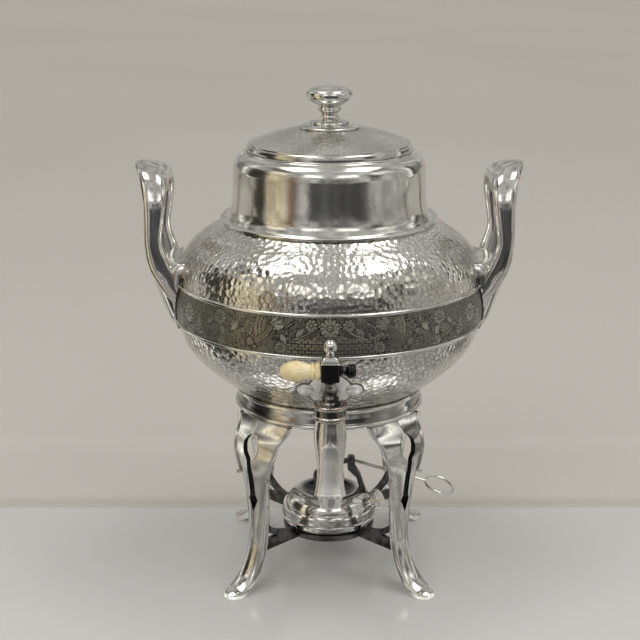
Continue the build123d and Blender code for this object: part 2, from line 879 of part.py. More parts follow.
# Snuffer: cap, lever and rod with its finger ring
cap_top_z = snuffer_bottom_z + snuffer_height
with BuildPart() as snuffer_cap:
    with BuildSketch(Plane.XZ):
        with BuildLine():
            Line((snuffer_r, snuffer_bottom_z), (snuffer_r, cap_top_z - 6.0))
            ThreePointArc(
                (snuffer_r, cap_top_z - 6.0),
                (snuffer_r - 3.0, cap_top_z - 1.8),
                (snuffer_r - 8.0, cap_top_z),
            )
            Polyline(
                (snuffer_r - 8.0, cap_top_z),
                (0, cap_top_z),
                (0, cap_top_z - 1.0),
                (snuffer_r - 8.0, cap_top_z - 1.0),
            )
            ThreePointArc(
                (snuffer_r - 8.0, cap_top_z - 1.0),
                (snuffer_r - 3.7, cap_top_z - 2.5),
                (snuffer_r - 1.0, cap_top_z - 6.0),
            )
            Polyline(
                (snuffer_r - 1.0, cap_top_z - 6.0),
                (snuffer_r - 1.0, snuffer_bottom_z),
                (snuffer_r, snuffer_bottom_z),
            )
        make_face()
    revolve(axis=Axis.Z)
write(snuffer_cap.part, "snuffer_cap")

with BuildPart() as snuffer_lever:
    with BuildSketch(Plane.XZ.offset(-lever_half)):
        with Locations((pivot_x, pivot_z)):
            Circle(3.4)
        with BuildLine():
            Polyline(
                (-2.4, cap_top_z),
                (2.4, cap_top_z),
                (3.0, cap_top_z + 2.6),
                (pivot_x, pivot_z - 1.8),
                (pivot_x, pivot_z + 1.8),
                (1.6, cap_top_z + 5.4),
                (-1.8, cap_top_z + 4.4),
                close=True,
            )
        make_face()
    extrude(amount=2 * lever_half)
    with BuildSketch(Plane.XZ.offset(-lever_half)):
        with Locations((pivot_x, pivot_z)):
            Circle(pin_r + running_gap)
    extrude(amount=2 * lever_half, mode=Mode.SUBTRACT)
write(snuffer_lever.part, "snuffer_lever")

rod_dir = Vector(cos(radians(lever_drop)), 0, -sin(radians(lever_drop)))
rod_start = Vector(pivot_x, 0, pivot_z) + rod_dir * 3.0
loop_centre = Vector(pivot_x, 0, pivot_z) + rod_dir * loop_x
loop_up = Vector(sin(radians(lever_drop)), -sin(radians(loop_lean)), cos(radians(lever_drop)))
with BuildPart() as snuffer_rod:
    with BuildSketch(Plane(origin=rod_start, z_dir=rod_dir)):
        Circle(rod_r)
    extrude(amount=rod_length - 3.0)
    with BuildLine(Plane(origin=loop_centre, x_dir=rod_dir, z_dir=loop_up)):
        CenterArc((0, 0), loop_r, 180, 360)
    ring_start = loop_centre - rod_dir * loop_r
    with BuildSketch(Plane(origin=ring_start, x_dir=rod_dir, z_dir=rod_dir.cross(loop_up))):
        Circle(loop_wire_r)
    sweep()
    add(snuffer_lever.part, mode=Mode.SUBTRACT)
write(snuffer_rod.part, "snuffer_rod")

# Tap: lobed rosette on the belly, barrel, housing and spout in one casting
tap_axis = Axis((0, tap_y, 0), (0, 0, 1))
tap_side = Plane(origin=(0, tap_y, 0), x_dir=(1, 0, 0), z_dir=(0, -1, 0))
barrel_plane = Plane(origin=(0, tap_y, tap_axis_z), x_dir=(1, 0, 0), z_dir=(0, 1, 0))
spout_sections = (
    # forward of the key's axis, height, half width, half depth, tilt
    (0.0, housing_bottom_z, 11.0, 11.0, 0.0),
    (-0.4, housing_bottom_z - 10.0, 12.1, 12.0, 3.0),
    (-2.2, housing_bottom_z - 21.0, 11.6, 11.2, 9.0),
    (-6.6, housing_bottom_z - 35.0, 9.5, 9.0, 17.0),
    (-10.4, nozzle_z + 16.0, 10.3, 9.0, 20.0),
    (-12.8, nozzle_z + 9.2, 11.8, 10.0, 20.0),
)


def spout_plane(forward, z, tilt):
    """Plane across the spout, leaning forward by tilt degrees."""
    return Plane(
        origin=(0, tap_y + forward, z),
        x_dir=(1, 0, 0),
        z_dir=(0, -sin(radians(tilt)), -cos(radians(tilt))),
    )


plug_hole = [
    (0, rim_z + 1.0),
    (plug_top_r + running_gap, rim_z + 1.0),
    (plug_top_r + running_gap, rim_z),
    (plug_bottom_r + running_gap, plug_bottom_z),
    (plug_bottom_r + running_gap, plug_bottom_z - chamber_depth),
    (0, plug_bottom_z - chamber_depth),
]
lip_forward, lip_z, _, _, lip_tilt = spout_sections[-1]
lip_plane = spout_plane(lip_forward, lip_z, lip_tilt)
mouth_plane = spout_plane(nozzle_y - tap_y, nozzle_z, lip_tilt)
outlet_top = Vector(0, tap_y, plug_bottom_z)
outlet_dir = Vector(0, nozzle_y, nozzle_z) - outlet_top
with BuildPart() as tap_body:
    with BuildSketch(tap_side):
        with BuildLine():
            Polyline(
                (0, housing_bottom_z),
                (11.0, housing_bottom_z),
                (rim_r - 0.4, housing_bottom_z + 0.6),
                (rim_r - 0.2, housing_bottom_z + 2.6),
                (rim_r - 1.2, housing_bottom_z + 3.4),
                (rim_r - 1.2, rim_z - 3.0),
                (rim_r - 0.2, rim_z - 2.0),
                (rim_r, rim_z - 0.6),
                (rim_r - 1.0, rim_z),
                (plug_top_r, rim_z),
                (0, rim_z),
                close=True,
            )
        make_face()
    revolve(axis=tap_axis)
    for forward, z, half_x, half_y, tilt in spout_sections:
        with BuildSketch(spout_plane(forward, z, tilt)):
            Ellipse(half_x, half_y)
    loft()
    with BuildSketch(lip_plane):
        Circle(nozzle_r + 1.3)
    with BuildSketch(mouth_plane):
        Circle(nozzle_r)
    loft()
    with BuildSketch(barrel_plane):
        Circle(barrel_r)
    extrude(amount=washer_face_y - tap_y)
    add(belly_solid(rosette_thick), mode=Mode.SUBTRACT)
    with BuildSketch(barrel_plane):
        Circle(shank_r)
    extrude(amount=washer_face_y + tap_nut_height - tap_y)
    with BuildSketch(tap_side):
        with BuildLine():
            Polyline(*plug_hole, close=True)
        make_face()
    revolve(axis=tap_axis, mode=Mode.SUBTRACT)
    with BuildSketch(barrel_plane):
        Circle(bore_r)
    extrude(amount=washer_face_y + tap_nut_height + 1 - tap_y, mode=Mode.SUBTRACT)
    with BuildSketch(Plane(origin=outlet_top, x_dir=(1, 0, 0), z_dir=outlet_dir)):
        Circle(outlet_r)
    extrude(amount=outlet_dir.length * 1.1, mode=Mode.SUBTRACT)
write(tap_body.part.solids().sort_by(SortBy.VOLUME)[-1], "tap_body")

# Rosette: a curved four-lobed plate between tap and belly
lobe_reach = rosette_r - rosette_lobe_r
lobe_places = [
    ((lobe_reach + wider) * cos(radians(a)), tap_axis_z + lobe_reach * sin(radians(a)))
    for a, wider in ((-14, 4.0), (90, 0.0), (194, 4.0), (270, 0.0))
]
with BuildPart() as tap_rosette:
    with BuildSketch(Plane.XZ.offset(-washer_face_y)):
        with Locations((0, tap_axis_z)):
            Circle(lobe_reach + 2.0)
        with Locations(*lobe_places):
            Circle(rosette_lobe_r)
        with Locations((0, tap_axis_z)):
            Circle(shank_r, mode=Mode.SUBTRACT)
    extrude(amount=belly_r + washer_face_y)
    add(belly_solid(rosette_thick), mode=Mode.INTERSECT)
    add(belly_solid(), mode=Mode.SUBTRACT)
    for moulding in mouldings:
        add(moulding, mode=Mode.SUBTRACT)
write(tap_rosette.part.solids().sort_by(SortBy.VOLUME)[-1], "tap_rosette")

# Inside the urn: wedge washer, nut and strainer on the tap's shank
with BuildPart() as wedge_washer:
    with BuildSketch(Plane.XZ.offset(-washer_face_y)):
        with Locations((0, tap_axis_z)):
            Circle(tap_nut_across / 2)
            Circle(shank_r, mode=Mode.SUBTRACT)
    extrude(amount=30)
    add(belly_solid(-wall), mode=Mode.INTERSECT)
write(wedge_washer.part.solids().sort_by(SortBy.VOLUME)[-1], "wedge_washer")

with BuildPart() as tap_nut:
    with BuildSketch(Plane.XZ.offset(-washer_face_y)):
        with Locations((0, tap_axis_z)):
            RegularPolygon(tap_nut_across / 2, 6, major_radius=False)
            Circle(shank_r, mode=Mode.SUBTRACT)
    extrude(amount=-tap_nut_height)
write(tap_nut.part, "tap_nut")

strainer_wall = 0.8
strainer_depth = 9.0
strainer_r = shank_r + 1.2
strainer_y = washer_face_y + tap_nut_height
with BuildPart() as tap_strainer:
    with BuildSketch(Plane.XZ.offset(-strainer_y)):
        with Locations((0, tap_axis_z)):
            Circle(strainer_r)
    extrude(amount=-strainer_depth)
    with BuildSketch(Plane.XZ.offset(-strainer_y)):
        with Locations((0, tap_axis_z)):
            Circle(strainer_r - strainer_wall)
    extrude(amount=strainer_wall - strainer_depth, mode=Mode.SUBTRACT)
    with BuildSketch(Plane.XZ.offset(-strainer_y - strainer_depth)):
        with Locations((0, tap_axis_z)):
            with PolarLocations(3.8, 6):
                Circle(0.9)
            Circle(0.9)
    extrude(amount=4, both=True, mode=Mode.SUBTRACT)
    with BuildSketch(Plane.XZ.offset(-strainer_y)):
        with Locations((0, tap_axis_z)):
            Circle(strainer_r)
            Circle(bore_r, mode=Mode.SUBTRACT)
    extrude(amount=-strainer_wall)
write(tap_strainer.part, "tap_strainer")

# Turning key: hollow taper plug with a side port, closed as it stands
with BuildPart() as tap_plug:
    with BuildSketch(tap_side):
        with BuildLine():
            Polyline(
                (0, plug_bottom_z + 0.3),
                (plug_bottom_r, plug_bottom_z + 0.3),
                (plug_top_r, rim_z + 0.3),
                (plug_top_r, rim_z + 0.9),
                (6.7, rim_z + 2.2),
                (6.3, rim_z + 5.0),
                (key_stem_r, rim_z + 10.0),
                (key_stem_r + 0.6, key_z - block_size / 2),
                (0, key_z - block_size / 2),
                close=True,
            )
        make_face()
    revolve(axis=tap_axis)
    with BuildSketch(Plane.XY.offset(plug_bottom_z)):
        with Locations((0, tap_y)):
            Circle(port_r)
    extrude(amount=tap_axis_z + port_r + 1.0 - plug_bottom_z, mode=Mode.SUBTRACT)
    with BuildSketch(Plane.YZ):
        with Locations((tap_y, tap_axis_z)):
            Circle(port_r - 0.2)
    extrude(amount=plug_top_r + 2, mode=Mode.SUBTRACT)
write(tap_plug.part, "tap_plug")

block_half = block_size / 2
with BuildPart() as key_block:
    with BuildSketch(Plane.XY.offset(key_z - block_half)):
        with Locations((0, tap_y)):
            Rectangle(block_size, block_size)
    extrude(amount=block_size)
    chamfer(key_block.edges().filter_by(Axis.Z), 0.8)
    with BuildSketch(Plane.XY.offset(key_z + block_half)):
        with Locations((0, tap_y)):
            Rectangle(block_size - 0.8, block_size - 0.8)
    with BuildSketch(Plane.XY.offset(ball_z - ball_r - 1.6)):
        with Locations((0, tap_y)):
            Rectangle(6.6, 6.6)
    loft()
    with BuildSketch(Plane(origin=(-block_size, tap_y, key_z), z_dir=(1, 0, 0))):
        Circle(grip_pin_r)
    extrude(amount=2 * block_size, mode=Mode.SUBTRACT)
write(key_block.part, "key_block")

with BuildPart() as key_ball:
    with BuildSketch(Plane.XY.offset(ball_z - ball_r - 1.6)):
        with Locations((0, tap_y)):
            Circle(3.0)
    extrude(amount=ball_r)
    with Locations((0, tap_y, ball_z)):
        Sphere(ball_r)
write(key_ball.part, "key_ball")

grip_plane = Plane(origin=(0, tap_y, key_z), x_dir=(-1, 0, 0), z_dir=(0, 1, 0))
grip_axis = Axis((0, tap_y, key_z), (1, 0, 0))
grip_start = block_half
grip_end = grip_start + grip_length
with BuildPart() as key_grip:
    with BuildSketch(grip_plane):
        with BuildLine():
            l1 = Polyline(
                (grip_start, grip_pin_r),
                (grip_start, 6.0),
                (grip_start + 1.0, 6.8),
                (grip_start + 3.4, 6.9),
                (grip_start + 4.4, 5.4),
                (grip_start + 5.4, 6.7),
                (grip_start + 6.6, 6.7),
                (grip_start + 7.4, 5.2),
            )
            l2 = Spline(
                l1 @ 1,
                (grip_start + 10.0, 6.1),
                (grip_start + 18.5, grip_r),
                (grip_end - 5.0, grip_r - 2.2),
                (grip_end, 0),
                tangents=[(1, 0), (0, -1)],
            )
            Polyline(l2 @ 1, (grip_start + 14.0, 0), (grip_start + 14.0, grip_pin_r), l1 @ 0)
        make_face()
    revolve(axis=grip_axis)
write(key_grip.part, "key_grip")

with BuildPart() as grip_pin:
    with BuildSketch(Plane(origin=(block_half, tap_y, key_z), z_dir=(-1, 0, 0))):
        Circle(grip_pin_r)
    extrude(amount=block_size + 14.0)
write(grip_pin.part, "grip_pin")

with BuildPart() as key_button:
    with BuildSketch(grip_plane):
        with BuildLine():
            Polyline(
                (-block_half, 0),
                (-block_half, 4.0),
                (-block_half - 1.2, 4.6),
                (-block_half - 2.4, 3.4),
                (-block_half - 4.6, 3.0),
                (-block_half - 5.6, 4.2),
                (-block_half - 6.8, 5.3),
                (-button_reach + 2.6, 5.3),
                (-button_reach + 0.6, 4.2),
                (-button_reach, 2.4),
                (-button_reach, 0),
                close=True,
            )
        make_face()
    revolve(axis=grip_axis)
write(key_button.part, "key_button")
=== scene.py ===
"""Silver-plated hot water urn on its lamp stand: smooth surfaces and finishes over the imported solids."""

from math import atan2, cos, hypot, pi, radians, sin

import bmesh
import bpy
import numpy as np
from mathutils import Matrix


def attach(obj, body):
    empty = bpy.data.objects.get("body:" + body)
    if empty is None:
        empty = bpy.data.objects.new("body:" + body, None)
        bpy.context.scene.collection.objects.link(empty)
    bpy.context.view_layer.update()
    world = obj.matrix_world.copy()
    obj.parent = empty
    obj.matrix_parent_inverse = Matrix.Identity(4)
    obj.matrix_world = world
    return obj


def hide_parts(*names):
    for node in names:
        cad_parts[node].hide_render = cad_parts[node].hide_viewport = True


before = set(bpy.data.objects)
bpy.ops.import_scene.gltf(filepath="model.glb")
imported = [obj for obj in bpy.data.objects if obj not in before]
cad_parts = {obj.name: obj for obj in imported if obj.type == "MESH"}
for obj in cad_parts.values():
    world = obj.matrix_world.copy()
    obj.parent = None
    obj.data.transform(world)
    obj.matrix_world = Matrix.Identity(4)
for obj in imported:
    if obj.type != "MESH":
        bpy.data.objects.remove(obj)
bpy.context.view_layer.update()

MM = 0.001
ROUND = 192

# Heights and radii in millimetres that several pieces share
BELLY_R = 127.6
BAND_LOW_Z = 222.0
BAND_HIGH_Z = 254.5
BAND_PROUD = 0.9
SHOULDER_R = 88.0
SHOULDER_Z = 302.5
NECK_BASE_Z = 305.7
LEDGE_Z = 359.8
MOUTH_R = 66.3
LID_Z = 360.1
DOME_R = 65.7
DOME_EDGE_Z = 365.8
DOME_TOP_Z = 379.0
DOME_RISE = 13.2
PLATE_TOP_Z = 380.6
RING_IN_R = 75.2
RING_OUT_R = 77.4
RING_LOW_Z = 145.4
RING_HIGH_Z = 162.2
LAMP_Z = 35.1
PAN_TOP_Z = 48.6
PAN_R = 39.4
CREST_Z = 63.5
TAP_Y = -152.0
TAP_AXIS_Z = 186.0
RIM_Z = 195.6
HOUSING_Z = 183.4
KEY_Z = 220.2
PIVOT = np.array([19.5, 0.0, 89.5])
LEG_ANGLES = {"front_left": 225, "front_right": 315, "back_right": 45, "back_left": 135}


# Shader maths
def maths(operation, *fixed):
    """A Wire method that adds one Math node: the wire itself, the other value, then any fixed ones."""

    def method(self, *others):
        values = dict(enumerate((self, *others, *fixed)))
        return self.finish.node("Math", {"operation": operation}, values)

    return method


class Wire:
    """A value inside a material; arithmetic on it adds Math nodes."""

    __add__ = __radd__ = maths("ADD")
    __mul__ = __rmul__ = maths("MULTIPLY")
    __sub__, __truediv__, __pow__ = maths("SUBTRACT"), maths("DIVIDE"), maths("POWER")
    __neg__, __abs__ = maths("MULTIPLY", -1.0), maths("ABSOLUTE")
    least, most = maths("MINIMUM"), maths("MAXIMUM")

    def __init__(self, finish, socket):
        self.finish, self.socket = finish, socket

    def __rsub__(self, other):
        return self.finish.node("Math", {"operation": "SUBTRACT"}, {0: other, 1: self})

    def step(self, low, high):
        """0 below low, 1 above high and an S-curve between."""
        return self.finish.node(
            "MapRange",
            {"interpolation_type": "SMOOTHSTEP"},
            {"Value": self, "From Min": low, "From Max": high},
        )


def between(value, low, high, soft):
    """1 from low to high and 0 outside, with a soft edge."""
    return value.step(low - soft, low + soft) * value.step(high + soft, high - soft)


class Finish:
    """A node material with one Principled shader."""

    def __init__(self, name, **values):
        self.material = bpy.data.materials.new(name)
        self.material.use_nodes = True
        self.tree = self.material.node_tree
        self.shader = self.tree.nodes["Principled BSDF"]
        self.set(**values)

    def feed(self, slot, value):
        """Link a wire to a socket, or set the socket's own value."""
        if isinstance(value, Wire):
            self.tree.links.new(value.socket, slot)
        elif isinstance(value, tuple) and slot.type == "RGBA" and len(value) == 3:
            slot.default_value = (*value, 1.0)
        else:
            slot.default_value = value

    def node(self, kind, settings=None, values=None, output=0):
        """Add a node: its settings first, a ramp's stops with them, then its sockets."""
        node = self.tree.nodes.new("ShaderNode" + kind)
        for key, value in (settings or {}).items():
            if key == "stops":
                ramp = node.color_ramp.elements
                while len(ramp) < len(value):
                    ramp.new(0.5)
                for element, (place, colour) in zip(ramp, value):
                    element.position, element.color = place, (*colour, 1.0)
            else:
                setattr(node, key, value)
        for key, value in (values or {}).items():
            self.feed(node.inputs[key], value)
        return Wire(self, node.outputs[output])

    def set(self, **values):
        """Set or link sockets of the shader; underscores stand for spaces."""
        for key, value in values.items():
            self.feed(self.shader.inputs[key.replace("_", " ")], value)

    def place(self, scale=(1, 1, 1)):
        """Object coordinates in metres, scaled along each axis."""
        here = self.node("TexCoord", output=3)
        return self.node("Mapping", {}, {"Vector": here, "Scale": scale})

    def noise(self, scale, detail=2.0, where=None, rough=0.5):
        """Cloud noise from about 0.25 to 0.75; scale is in cycles per metre."""
        return self.node(
            "TexNoise",
            {},
            {"Vector": where or self.place(), "Scale": scale, "Detail": detail, "Roughness": rough},
        )

    def mix(self, share, first, second, blend="MIX"):
        """Colour mix: first where the share is 0 and second where it is 1."""
        colours = {"data_type": "RGBA", "blend_type": blend}
        return self.node("Mix", colours, {0: share, 6: first, 7: second}, output=2)

    def warped(self, where, scale, reach, detail):
        """Places pushed about by cloud noise: where + reach x noise colour, reach in metres."""
        warp = self.noise(scale, detail)
        colour = Wire(self, warp.socket.node.outputs[1])
        drift = self.node("VectorMath", {"operation": "SCALE"}, {0: colour, 3: reach})
        return self.node("VectorMath", {"operation": "ADD"}, {0: where, 1: drift})

    def axes(self, where=None):
        """The three parts of a vector as wires: object x, y and z in metres if no other is given."""
        split = self.node("SeparateXYZ", {}, {"Vector": where or self.place()})
        return [Wire(self, split.socket.node.outputs[i]) for i in range(3)]

    def bump(self, height, distance=1.0, strength=1.0):
        """Relief: height times distance is in metres, so a height that is in metres itself has distance 1."""
        relief = {"Height": height, "Distance": distance, "Strength": strength}
        self.set(Normal=self.node("Bump", {}, relief))


SILVER = (0.80, 0.79, 0.765)
SHADE = (0.62, 0.605, 0.57)
TARNISH = (0.40, 0.34, 0.26)
COPPER = (0.40, 0.265, 0.17)
NEAR_BLACK = (0.02, 0.019, 0.018)


def silver(name, rough=0.1, tarnish=0.35, relief=None, dark=None):
    """Plate: soft clouds of tone, a little tarnish and fine wiping marks.
    Relief adds a height in metres, and dark gives the share darkened to near black: blackening on some parts,
    painted shade on others."""
    finish = Finish(name, Metallic=1.0)
    cloud = finish.noise(26.0, 4.0)
    spots = finish.noise(160.0, 3.0, rough=0.65)
    toned = finish.mix(cloud.step(0.42, 0.66), SILVER, SHADE)
    dull = spots.step(0.56, 0.74) * tarnish
    toned = finish.mix(dull, toned, TARNISH)
    if dark:
        toned = finish.mix(dark(finish), toned, NEAR_BLACK)
    finish.set(Base_Color=toned, Roughness=cloud.step(0.35, 0.7) * 0.05 + dull * 0.2 + rough)
    wiped = finish.noise(900.0, 2.0, where=finish.place((1.0, 1.0, 0.16))) * 0.000004
    finish.bump(wiped + relief(finish) if relief else wiped)
    return finish.material


def hammered(name, size, depth, crease, rough):
    """Plate beaten all over: height in metres grows with the square of the distance to the nearest blow,
    and the creases between blows keep some tarnish."""
    finish = Finish(name, Metallic=1.0)
    where = finish.warped(finish.place(), 0.35 / size, size * 0.5, 1.0)
    spots = {"Vector": where, "Scale": 1.0 / size, "Randomness": 0.8}
    blow = finish.node("TexVoronoi", {"feature": "SMOOTH_F1"}, dict(spots, Smoothness=0.35))
    edge = finish.node("TexVoronoi", {"feature": "DISTANCE_TO_EDGE"}, spots).step(0.2, 0.0)
    cloud = finish.noise(24.0, 3.0)
    toned = finish.mix(cloud.step(0.42, 0.66), SILVER, SHADE)
    finish.set(Base_Color=finish.mix(edge * crease, toned, TARNISH))
    finish.set(Roughness=cloud * 0.05 + edge * 0.15 + rough)
    finish.bump(blow * blow * depth)
    return finish.material


def painted_sheen():
    """Matt whitish plate: its white is a painted reflection of the bright room on the rosette's domed lobes."""
    finish = Finish("painted_sheen_plate", Metallic=0.55)
    cloud = finish.noise(60.0, 3.0)
    finish.set(Base_Color=finish.mix(cloud.step(0.4, 0.65), (0.93, 0.925, 0.91), (0.82, 0.81, 0.78)))
    finish.set(Roughness=cloud * 0.2 + 0.24)
    finish.bump(finish.noise(700.0, 2.0), 0.00002)
    return finish.material


def leg_pits(finish):
    """Height in metres of the cast legs' uneven face."""
    return finish.noise(160.0, 3.0) * 0.00007


def neck_waves(finish):
    """Height in metres of the rolled neck's slow waves and fine grain."""
    return finish.noise(70.0, 3.0) * 0.00014 + finish.noise(520.0, 2.0) * 0.00002


def blackening_and_dark_reflection(scale, low, high, share):
    """Dark patches where cloud noise rises from low to high: blackening on the dusky parts, a painted dark
    reflection on the stand ring and the lamp pan.
    """
    return lambda finish: finish.noise(scale, 2.0).step(low, high) * share


def block_shade(finish):
    """The key's block is black up to the foot of its spire."""
    return finish.axes()[2].step(0.2272, 0.2268) * 0.9


def lamp_centre_shade(finish):
    """Painted shade round the wick on the lamp's cover: black to 20 mm from the wick and gone at 28 mm."""
    x, y, _ = finish.axes()
    return ((x * x + y * y) ** 0.5).step(0.028, 0.020) * 0.98


def slot_shade(finish):
    """Painted shade on the walls of the legs' slots: points nearer to a leg's mid-plane than the slot's half
    width.
    Both are in centimetres, and |x - y| or |x + y| is the distance to a mid-plane times the root of 2."""
    x, y, z = finish.axes()
    across = abs(x - y).least(abs(x + y)) * 70.71
    stops = [((at - SLOT_LOW_Z) / SLOT_SPAN, (wide / 10.0,) * 3) for at, wide in SLOT_HALF]
    half = finish.node("ValToRGB", {"stops": stops}, {"Fac": (z * 1000.0 - SLOT_LOW_Z) / SLOT_SPAN})
    return (across - half).step(0.03, 0.01)


def two_tone(name, low, high, scale, rough, metallic, depth=0.0001):
    """Cloudy mix of two colours with a fine grain."""
    finish = Finish(name, Metallic=metallic)
    cloud = finish.noise(scale, 5.0, rough=0.6)
    finish.set(Base_Color=finish.mix(cloud.step(0.35, 0.65), low, high))
    finish.set(Roughness=cloud * 0.25 + rough)
    finish.bump(finish.noise(scale * 8, 3.0), depth, 0.5)
    return finish.material


# Half width of the slot in each leg at heights in millimetres: a drop, a slit and a spade
SLOT_LOW_Z = 69.0
SLOT_SPAN = 68.0
SLOT_HALF = [
    (69.0, 0.0), (79.5, 4.8), (84.0, 2.9), (115.0, 2.9), (120.0, 7.6), (126.0, 8.7), (130.0, 8.0), (133.0, 6.5),
    (135.4, 3.9), (136.6, 0.0),
]

plain_silver = silver("polished_plate")
soft_silver = silver("worn_plate", 0.16, 0.6)
leg_silver = silver("leg_plate", 0.13, 0.8, leg_pits, slot_shade)
neck_silver = silver("rolled_plate", 0.12, 0.3, neck_waves)
dusky_silver = silver("dusky_plate", 0.14, 0.6, dark=blackening_and_dark_reflection(60.0, 0.2, 0.4, 0.97))
# On the stand ring and the lamp pan the dark patches are a painted dark reflection of the room's dark side.
ring_silver = silver("ring_plate", 0.14, 0.6, dark=blackening_and_dark_reflection(18.0, 0.25, 0.6, 0.7))
block_silver = silver("key_plate", 0.08, 0.3, dark=block_shade)
# The lamp cover's plate carries painted shade round the wick.
shaded_centre_silver = silver("centre_shade_plate", 0.1, 0.4, dark=lamp_centre_shade)
lobe_silver = painted_sheen()
belly_silver = hammered("hammered_plate", 0.0044, 0.00056, 0.4, 0.07)
lid_silver = hammered("stippled_plate", 0.0026, 0.00026, 0.4, 0.1)
dark_metal = two_tone("blackened_metal", (0.045, 0.043, 0.04), (0.15, 0.145, 0.14), 120.0, 0.22, 1.0)
cotton = two_tone("wick_cotton", (0.30, 0.26, 0.2), (0.62, 0.58, 0.5), 900.0, 0.8, 0.0, 0.0004)


def band_finish():
    """Darkened band: leafy ground of small warped cells, with the figures from the mesh's own attribute."""
    finish = Finish("engraved_plate", Metallic=1.0)
    cut = finish.node("Attribute", {"attribute_name": "cut"}, output=2)
    cloud = finish.noise(30.0, 4.0)
    where = finish.warped(finish.place((1.0, 1.0, 0.7)), 420.0, 0.002, 2.0)
    scroll = abs(finish.noise(430.0, 1.5, where=where) - 0.5)
    leafy = scroll.step(0.01, 0.06)
    ground = finish.mix(leafy, (0.07, 0.068, 0.06), (0.27, 0.265, 0.235))
    figure = finish.mix(cut.step(0.7, 0.95), (0.30, 0.275, 0.22), (0.60, 0.595, 0.55))
    grain = finish.noise(900.0, 2.0, where=where)
    figure = finish.mix(grain.step(0.5, 0.4) * 0.6, figure, (0.14, 0.137, 0.12))
    toned = finish.mix(cut.step(0.4, 0.62), ground, figure)
    toned = finish.mix(cut.step(0.26, 0.1), toned, (0.045, 0.044, 0.04))
    finish.set(Base_Color=finish.mix(cloud.step(0.4, 0.6) * 0.35, toned, (0.3, 0.295, 0.265)))
    finish.set(Roughness=cloud * 0.2 + 0.2)
    finish.bump(cut * 0.0003 + leafy * 0.0001)
    return finish.material


def tap_finish():
    """Plate worn through to copper on the housing's two rings and here and there on the spout."""
    finish = Finish("rubbed_plate", Metallic=1.0)
    across, along, height = finish.axes()
    cloud = finish.noise(60.0, 4.0, where=finish.place((1.0, 1.0, 0.3)))
    patchy = finish.noise(260.0, 3.0)
    out = along - TAP_Y * MM
    reach = (across * across + out * out) ** 0.5
    rings = (height - 0.1937).step(0.0, 0.0008).most(abs(height - 0.1854).step(0.0013, 0.0005))
    worn = rings * reach.step(0.0123, 0.0130) * patchy.step(0.3, 0.6)
    hollow = between(height, 0.1872, 0.1924, 0.0006)
    toned = finish.mix(cloud.step(0.4, 0.65), SILVER, SHADE)
    toned = finish.mix(hollow * 0.75, toned, NEAR_BLACK)
    finish.set(Base_Color=finish.mix(worn.most(patchy.step(0.6, 0.72) * 0.3), toned, COPPER))
    spout = (height - 0.17).step(0.004, -0.006)
    finish.set(Roughness=worn * 0.15 + cloud * 0.12 + spout * 0.12 + 0.1, Metallic=1.0 - spout * 0.14)
    finish.bump(patchy, 0.00004, 0.4)
    return finish.material


def bone_finish():
    """Old bone: cream with long brown streaks that run along the grip."""
    finish = Finish("polished_bone", Coat_Weight=0.5, Coat_Roughness=0.12)
    streak = finish.noise(900.0, 4.0, where=finish.place((0.06, 1.0, 1.0)))
    cloud = finish.noise(90.0, 3.0)
    cream = finish.mix(cloud.step(0.35, 0.65), (0.76, 0.66, 0.41), (0.62, 0.49, 0.25))
    finish.set(Base_Color=finish.mix(streak.step(0.55, 0.8) * 0.5, cream, (0.36, 0.22, 0.09)))
    finish.set(Roughness=cloud * 0.2 + 0.24)
    finish.bump(streak, 0.00008, 0.5)
    return finish.material


band_plate = band_finish()
tap_plate = tap_finish()
bone = bone_finish()


# Curves
def full_turn(steps):
    """Evenly spaced angles round a circle."""
    return np.linspace(0, 2 * pi, steps, endpoint=False)


def rounded(points, radius=0.4, closed=True, steps=3):
    """Polyline with each corner replaced by a quadratic curve from radius before it to radius past it."""
    points = np.asarray(points, float)
    count = len(points)
    made = []
    for i, corner in enumerate(points):
        if not closed and i in (0, count - 1):
            made.append(corner[None])
            continue
        before, after = points[i - 1] - corner, points[(i + 1) % count] - corner
        first, last = np.hypot(*before), np.hypot(*after)
        start = corner + before * min(radius / first, 0.45)
        end = corner + after * min(radius / last, 0.45)
        t = np.linspace(0, 1, steps + 1)[:, None]
        made.append((1 - t) ** 2 * start + 2 * t * (1 - t) * corner + t**2 * end)
    return np.vstack(made)


def flowing(points, steps=8):
    """Catmull-Rom curve: a cubic through each point whose slope there is half the step between its neighbours."""
    p = np.asarray(points, float)
    p = np.vstack([2 * p[0] - p[1], p, 2 * p[-1] - p[-2]])
    t = np.linspace(0, 1, steps, endpoint=False)[None, :, None]
    a, b, c, d = (p[i : len(p) - 3 + i, None] for i in range(4))
    curve = 0.5 * (
        2 * b + (c - a) * t + (2 * a - 5 * b + 4 * c - d) * t**2 + (3 * b - a - 3 * c + d) * t**3
    )
    return np.vstack([curve.reshape(-1, p.shape[1]), p[-2:-1]])


def offset(points, distance):
    """Each point of an open curve moved to the left of the curve's direction."""
    run = np.gradient(np.asarray(points, float), axis=0)
    run /= np.hypot(run[:, 0], run[:, 1])[:, None]
    return points + distance * np.stack([-run[:, 1], run[:, 0]], 1)


# Surfaces
def linked(name, data):
    """A new object in the scene."""
    thing = bpy.data.objects.new(name, data)
    bpy.context.scene.collection.objects.link(thing)
    return thing


def smoothed(name, mesh, sharp=38):
    """Object of a mesh shaded smooth but for the edges that turn by more than an angle in degrees."""
    mesh.shade_smooth()
    mesh.set_sharp_from_angle(angle=radians(sharp))
    return linked(name, mesh)


